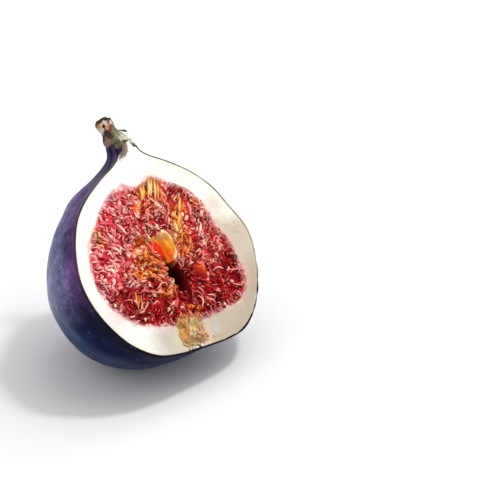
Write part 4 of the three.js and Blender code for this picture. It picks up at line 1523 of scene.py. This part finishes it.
def build_heart():
    """The heart round the hollow: the flap over it, thick petals and small florets."""
    places = scattered(1.0)
    x, y = places.T
    chosen = rng.random(len(x)) < 0.6
    places = places[(in_ellipse(x, y, HEART, HEART_SIZE) < 1.05) & (in_flap(x, y) > 0.9) & chosen]
    count = len(places)
    towards = headings(places, 0.5, 0.0, 0.4)
    lengths = rng.uniform(1.3, 2.4, count)
    roots = np.c_[places - towards[:, :2] * lengths[:, None] * ROOT_BACK, bed_at(places) + 0.75]
    ends = roots + towards * lengths[:, None]
    clear = (from_hollow(*ends[:, :2].T) > 1.05) & (from_hollow(*roots[:, :2].T) > 1.1)
    widths = rng.uniform(0.5, 0.85, clear.sum())
    tints = floret_tints(places, 0.8)
    small = florets(roots[clear], towards[clear], lengths[clear], widths, tints[clear], 0.18, 0.08)
    petals = [blade(*petal) for petal in PETALS]
    made = joined([small, build_flap(), *petals])
    wet_piece("heart_pieces", made, "heart", (0.15, 0.2, 0.22), "heart_florets")


# ---------------------------------------------------------------- eye

EYE_ZONES = [  # x, y, half width, half height and colour of each zone of the cut eye
    (-3.1, -14.6, 1.6, 1.0, "#e09848"),
    (-1.0, -13.6, 1.5, 0.8, "#c86038"),
    (1.6, -14.4, 1.4, 0.9, "#cc6c44"),
    (-4.4, -16.4, 1.6, 0.8, "#e4b070"),
    (-2.4, -17.0, 1.0, 1.3, "#e0923c"),
    (-0.6, -16.8, 0.5, 1.6, "#f0dca4"),
    (0.5, -16.6, 0.7, 1.2, "#ccc070"),
    (1.5, -16.9, 0.7, 0.9, "#c87840"),
    (1.9, -18.0, 0.8, 0.7, "#e0a078"),
    (3.2, -17.8, 0.7, 1.6, "#f2dcc8"),
    (-1.6, -19.4, 1.2, 1.1, "#b89468"),
    (0.0, -19.3, 1.1, 1.0, "#8c6c40"),
    (2.4, -20.4, 1.3, 0.8, "#ccb08c"),
    (-0.6, -21.0, 1.5, 0.6, "#e0ced0"),
]
EYE_HOLE = (-1.1, -17.75)
EYE_HOLE_SIZE = (0.6, 0.5)
EYE_SPAN = ((-7.4, 5.2), (-21.3, -12.6))  # across and along
EYE_CELL = 0.1
EYE_BOTTOM = -3.0


def eye_tint(x, y, grain):
    """Soft-edged zones of tan, orange, ochre and cream crumbs, with painted shade in the creases and in the
    hole.
    """
    spots = flat(x, y)
    bent = 0.4 * noise(spots, 0.8, 91, 2)
    zones = [in_ellipse(x, y, zone[:2], zone[2:4]) + bent for zone in EYE_ZONES]
    tint, _ = patchwork(zones, [zone[-1] for zone in EYE_ZONES], 1e-9)
    tint = mix(tint, "#d49c58", 0.25 + 0.3 * blotches(spots, 0.9, 97, -0.2, 0.4, 1))
    tint = mix(tint, "#f4e4cc", 0.6 * blotches(spots, 0.45, 96, 0.3, 0.6, 2))
    tint = mix(tint, "#805020", 0.5 * blotches(spots, 0.5, 98, 0.25, 0.6, 2))
    # painted shade: darker in the creases between the crumbs
    tint = tint * (0.5 + 0.5 * smoothstep(grain, 0.0, 0.5))[..., None]
    crust = smoothstep(-y, 20.3, 20.9)
    tint = mix(tint, "#efe6dc", 0.8 * crust * blotches(spots, 0.6, 99, -0.1, 0.3, 1))
    tint = mix(tint, "#16100c", 0.9 * crust * smoothstep(-noise(spots, 0.6, 99, 1), 0.1, 0.4))
    # painted shade: the hole is tinted dark brown
    hole = fade(in_ellipse(x, y, EYE_HOLE, EYE_HOLE_SIZE) + 0.3 * bent, 0.7, 1.2)
    return mix(tint, "#2c1006", 0.95 * hole)


def build_eye():
    """The cut eye's crumbly tissue, with the hole in it."""
    x, y = face_grid(*EYE_SPAN, EYE_CELL)
    inside = in_ellipse(x, y, EYE, EYE_SIZE) + 0.42 * noise(flat(x, y), 1.5, 92, 3)
    grain = np.abs(noise(flat(x, y) * [1, 0.6, 1], 0.5, 93, 2)) / 0.35
    clumps = noise(flat(x, y), 1.4, 94, 2)
    hole = fade(in_ellipse(x, y, EYE_HOLE, EYE_HOLE_SIZE), 0.5, 1.2)
    cover = fade(inside, 0.82, 1.08)
    in_pulp = smoothstep(-beyond_pulp(x, y), -0.2, 1.0)
    z = face_height(x, y) + bed_height(x, y, beyond_pulp(x, y)) + 0.95 * in_pulp
    z = z - 0.25 + cover * (0.35 + 0.28 * smoothstep(grain, 0, 1) + 0.28 * clumps) - 1.1 * hole
    z = z + 0.08 * noise(flat(x, y), 0.3, 95, 1) * cover
    kept = (inside < 1.1) & (beyond_body(x, y, 0 * x, SKIN_THICKNESS) < -0.015)
    made = sheet_solid(x, y, z, eye_tint(x, y, grain), kept, EYE_BOTTOM)
    dry_piece("eye_tissue", made, "bracts", (0.45, 1.8), "eye_bracts")


# ---------------------------------------------------------------- stem

STEM_BEND = 1.0  # the snapped end leans this far to the left
STEM_RINGS = 90
STEM_SIDES = 96
STEM_OUTLINE = [
    (2.3, 26.2), (2.4, 27.0), (2.2, 28.2), (1.8, 29.4), (1.75, 30.6), (1.8, 31.8), (1.55, 32.5),
    (0.9, 32.7), (0.1, 32.4),
]
STEM_PATCHES = [  # middle, reach and colour of each patch of the stem's bark and its snapped end; the bark is darker and browner at the stem's left and paler at its right, partly painted light and shade
    ((1.0, 33.0, -1.9), 0.9, "#2c2418"),
    ((-0.6, 32.8, -2.8), 0.7, "#4e3e2a"),
    ((2.6, 32.0, -2.1), 0.7, "#3c3024"),
    ((1.7, 32.4, -1.8), 0.6, "#30261a"),
    ((0.1, 32.6, -2.6), 0.6, "#33281a"),
    ((1.8, 31.3, -1.7), 0.5, "#cdb0a8"),
    ((1.2, 31.7, -1.5), 0.35, "#7c5044"),
    ((0.4, 31.7, -1.9), 0.55, "#d8c0a0"),
    ((-0.4, 31.4, -3.1), 0.45, "#d8a068"),
    ((0.0, 31.3, -2.7), 0.5, "#e6c4a0"),
    ((0.1, 31.0, -2.2), 0.36, "#140800"),
    ((0.7, 30.4, -1.9), 0.5, "#d08c66"),
    ((1.5, 30.6, -1.4), 0.45, "#8a4c38"),
    ((1.1, 29.9, -1.7), 0.5, "#6c3020"),
    ((-0.2, 30.3, -3.5), 0.8, "#e0d4d6"),
    ((0.5, 29.3, -2.6), 0.9, "#46382c"),
    ((0.2, 28.6, -3.2), 0.5, "#7c6450"),
    ((0.9, 29.0, -4.4), 0.9, "#2c3c40"),
    ((1.7, 28.9, -1.1), 0.9, "#868268"),
    ((2.2, 29.6, -1.4), 0.5, "#5c5a48"),
    ((1.0, 28.6, -1.7), 0.6, "#54442f"),
    ((1.4, 27.6, -0.9), 0.6, "#8a8668"),
    ((0.9, 27.0, -1.4), 0.5, "#6a6244"),
    ((0.2, 27.6, -3.2), 0.8, "#a07c6a"),
    ((0.2, 26.8, -1.9), 0.8, "#7a6a4e"),
    ((2.7, 27.2, -0.6), 0.9, "#dcd7bf"),
    ((3.3, 28.4, -1.0), 0.9, "#b4b096"),
    ((3.0, 30.0, -2.0), 1.1, "#8e8874"),
    ((2.6, 32.0, -3.2), 1.0, "#5c4c3c"),
]


def stem_tint(points):
    """Each place takes the colour of the nearest patch, with ragged borders."""
    bent = points + stack(*(noise(points, 0.6, seed, 3) for seed in (73, 74, 75))) * 0.32
    distances = [np.linalg.norm(bent - place, axis=-1) / reach for place, reach, _ in STEM_PATCHES]
    tint, weights = patchwork(distances, [patch[-1] for patch in STEM_PATCHES], 1e-12)
    lost = np.exp(-3e4 * weights)
    return tint * (1 - lost) + colour("#5e5444") * lost


def build_stem():
    """The stem's stub, its bark ridged and its end snapped."""
    radius, y = smooth_curve(STEM_OUTLINE, STEM_RINGS - 1).T[..., None]
    angle = np.linspace(0, 2 * math.pi, STEM_SIDES, endpoint=False)[None, :]
    cosine, sine = np.cos(angle), np.sin(angle)
    mx, mz = middle(y)
    mx = mx - STEM_BEND * smoothstep(y, 28.2, 31.5)
    ridge = 1 + 0.07 * np.cos(5 * angle + 0.4) + 0.05 * np.cos(11 * angle + y)
    rough = noise(stack(cosine, sine, y * 0.35), 0.5, 71, 3)
    ridge = ridge + (0.09 + 0.13 * smoothstep(y, 26.5, 28.5)) * rough
    reach = radius * ridge
    snapped = 0.45 * noise(flat(cosine * reach, sine * reach), 1.0, 72, 3)
    height = y + snapped * smoothstep(y, 30.8, 31.9)
    points = stack(mx + reach * cosine, height, mz + reach * sine)
    tint = stem_tint(points)
    count = STEM_RINGS * STEM_SIDES
    ends = [[mx[0, 0], y[0, 0], mz[0, 0]], [mx[-1, 0], height[-1].mean() - 0.1, mz[-1, 0]]]
    ring = np.arange(STEM_SIDES)
    triangles = np.vstack([fan(count, ring), fan(count + 1, count - STEM_SIDES + ring, True)])
    fibre = stack(cosine * 4, sine * 4, y * 0.5).reshape(-1, 3)
    made = (
        np.vstack([points.reshape(-1, 3), ends]),
        grid_faces(STEM_RINGS, STEM_SIDES, True)[:, ::-1],
        triangles[:, ::-1],
        np.vstack([tint.reshape(-1, 3), tint[0].mean(axis=0), tint[-1].mean(axis=0)]),
    )
    bark = dry_material("bark", 0.75, 1.5)
    piece = mesh_piece("stem_stub", made, bark, fibre=np.vstack([fibre, np.zeros((2, 3))]))
    weld(piece)
    dress(piece, "stem")


SPLINTER = ((2.9, 29.2, -1.5), (5.0, 28.5, -1.4))  # both ends of the torn fibre on the stem's right


def build_splinter():
    """The torn fibre that sticks out of the stem."""
    root, end = (np.array(point) for point in SPLINTER)
    tints = ("#8e8874", "#8a866e", "#14120c")
    made = one_floret(root, unit(end - root), np.linalg.norm(end - root), 0.5, tints, 0.1, 0.1, 0.1, 0.2)
    dry_piece("stem_splinter", made, "torn_fibre", (0.75, 1.5), "stem")


# ---------------------------------------------------------------- studio

SENSOR_WIDTH = 36
SKY = 0.62  # the strength of the plain white world
LIGHTS = {  # each light's direction as right, up and back in the view, its distance, size and watts
    "key": ((0.6, 1.0, 0.25), 0.75, 0.95, 2.6),
    "sparkle": ((0.45, 1.0, 0.45), 0.75, 0.09, 1.8),
    "fill": ((-0.9, 0.35, 0.6), 0.8, 0.5, 0.5),
}
LIT = (0, 0, 0.025)  # the lights point here
FLOOR_REACH = 4


def view_axes():
    """The camera's right, up and back directions in the row's frame."""
    a, e = math.radians(VIEW_AZIMUTH), math.radians(VIEW_ELEVATION)
    back = Vector((math.sin(a) * math.cos(e), -math.cos(a) * math.cos(e), math.sin(e)))
    right = Vector((math.cos(a), math.sin(a), 0))
    return right, back.cross(right), back


def build_camera():
    """The camera, aimed so that the fig's own origin lies at ORIGIN_PIXEL."""
    right, up, back = view_axes()
    across = FRAME_PIXELS / 2 - ORIGIN_PIXEL[0]
    over = ORIGIN_PIXEL[1] - FRAME_PIXELS / 2
    target = Vector(FIG_ORIGIN) * MM + right * across * PIXEL + up * over * PIXEL
    camera = bpy.data.objects.new("camera", bpy.data.cameras.new("camera"))
    camera.data.lens = VIEW_LENS
    camera.data.sensor_width = SENSOR_WIDTH
    camera.data.clip_start = 0.01
    camera.location = target + back * VIEW_DISTANCE
    camera.rotation_mode = "QUATERNION"
    camera.rotation_quaternion = (-back).to_track_quat("-Z", "Y")
    bpy.context.scene.collection.objects.link(camera)
    bpy.context.scene.camera = camera


def area_light(name, towards, distance, size, watts):
    """A square soft light, towards a direction given as right, up and back in the view."""
    right, up, back = view_axes()
    direction = (right * towards[0] + up * towards[1] + back * towards[2]).normalized()
    light = bpy.data.lights.new(name, "AREA")
    light.size = size
    light.energy = watts
    lamp = bpy.data.objects.new(name, light)
    lamp.location = Vector(LIT) + direction * distance
    lamp.rotation_mode = "QUATERNION"
    lamp.rotation_quaternion = (-direction).to_track_quat("-Z", "Y")
    bpy.context.scene.collection.objects.link(lamp)


def build_studio():
    """A white world, three soft lights and a plain pale floor."""
    world = bpy.data.worlds.new("studio")
    world.use_nodes = True
    background = world.node_tree.nodes["Background"]
    background.inputs["Color"].default_value = (1, 1, 1, 1)
    background.inputs["Strength"].default_value = SKY
    bpy.context.scene.world = world
    for name, settings in LIGHTS.items():
        area_light(name, *settings)
    s = Shader("floor")
    s.set(Base_Color=(0.9, 0.9, 0.9, 1), Roughness=0.6, Specular_IOR_Level=0.1)
    floor = bpy.data.meshes.new("floor")
    corners = [(x * FLOOR_REACH, y * FLOOR_REACH, 0) for x, y in ((-1, -1), (1, -1), (1, 1), (-1, 1))]
    floor.from_pydata(corners, [], [(0, 1, 2, 3)])
    floor.materials.append(s.material)
    stage = bpy.data.objects.new("floor", floor)
    bpy.context.scene.collection.objects.link(stage)
    bpy.context.scene.view_settings.view_transform = "Standard"


build_camera()
build_studio()
build_skin()
build_flesh()
build_mass()
build_pulp()
build_long_florets()
build_seeds()
build_heart()
build_eye()
build_stem()
build_splinter()
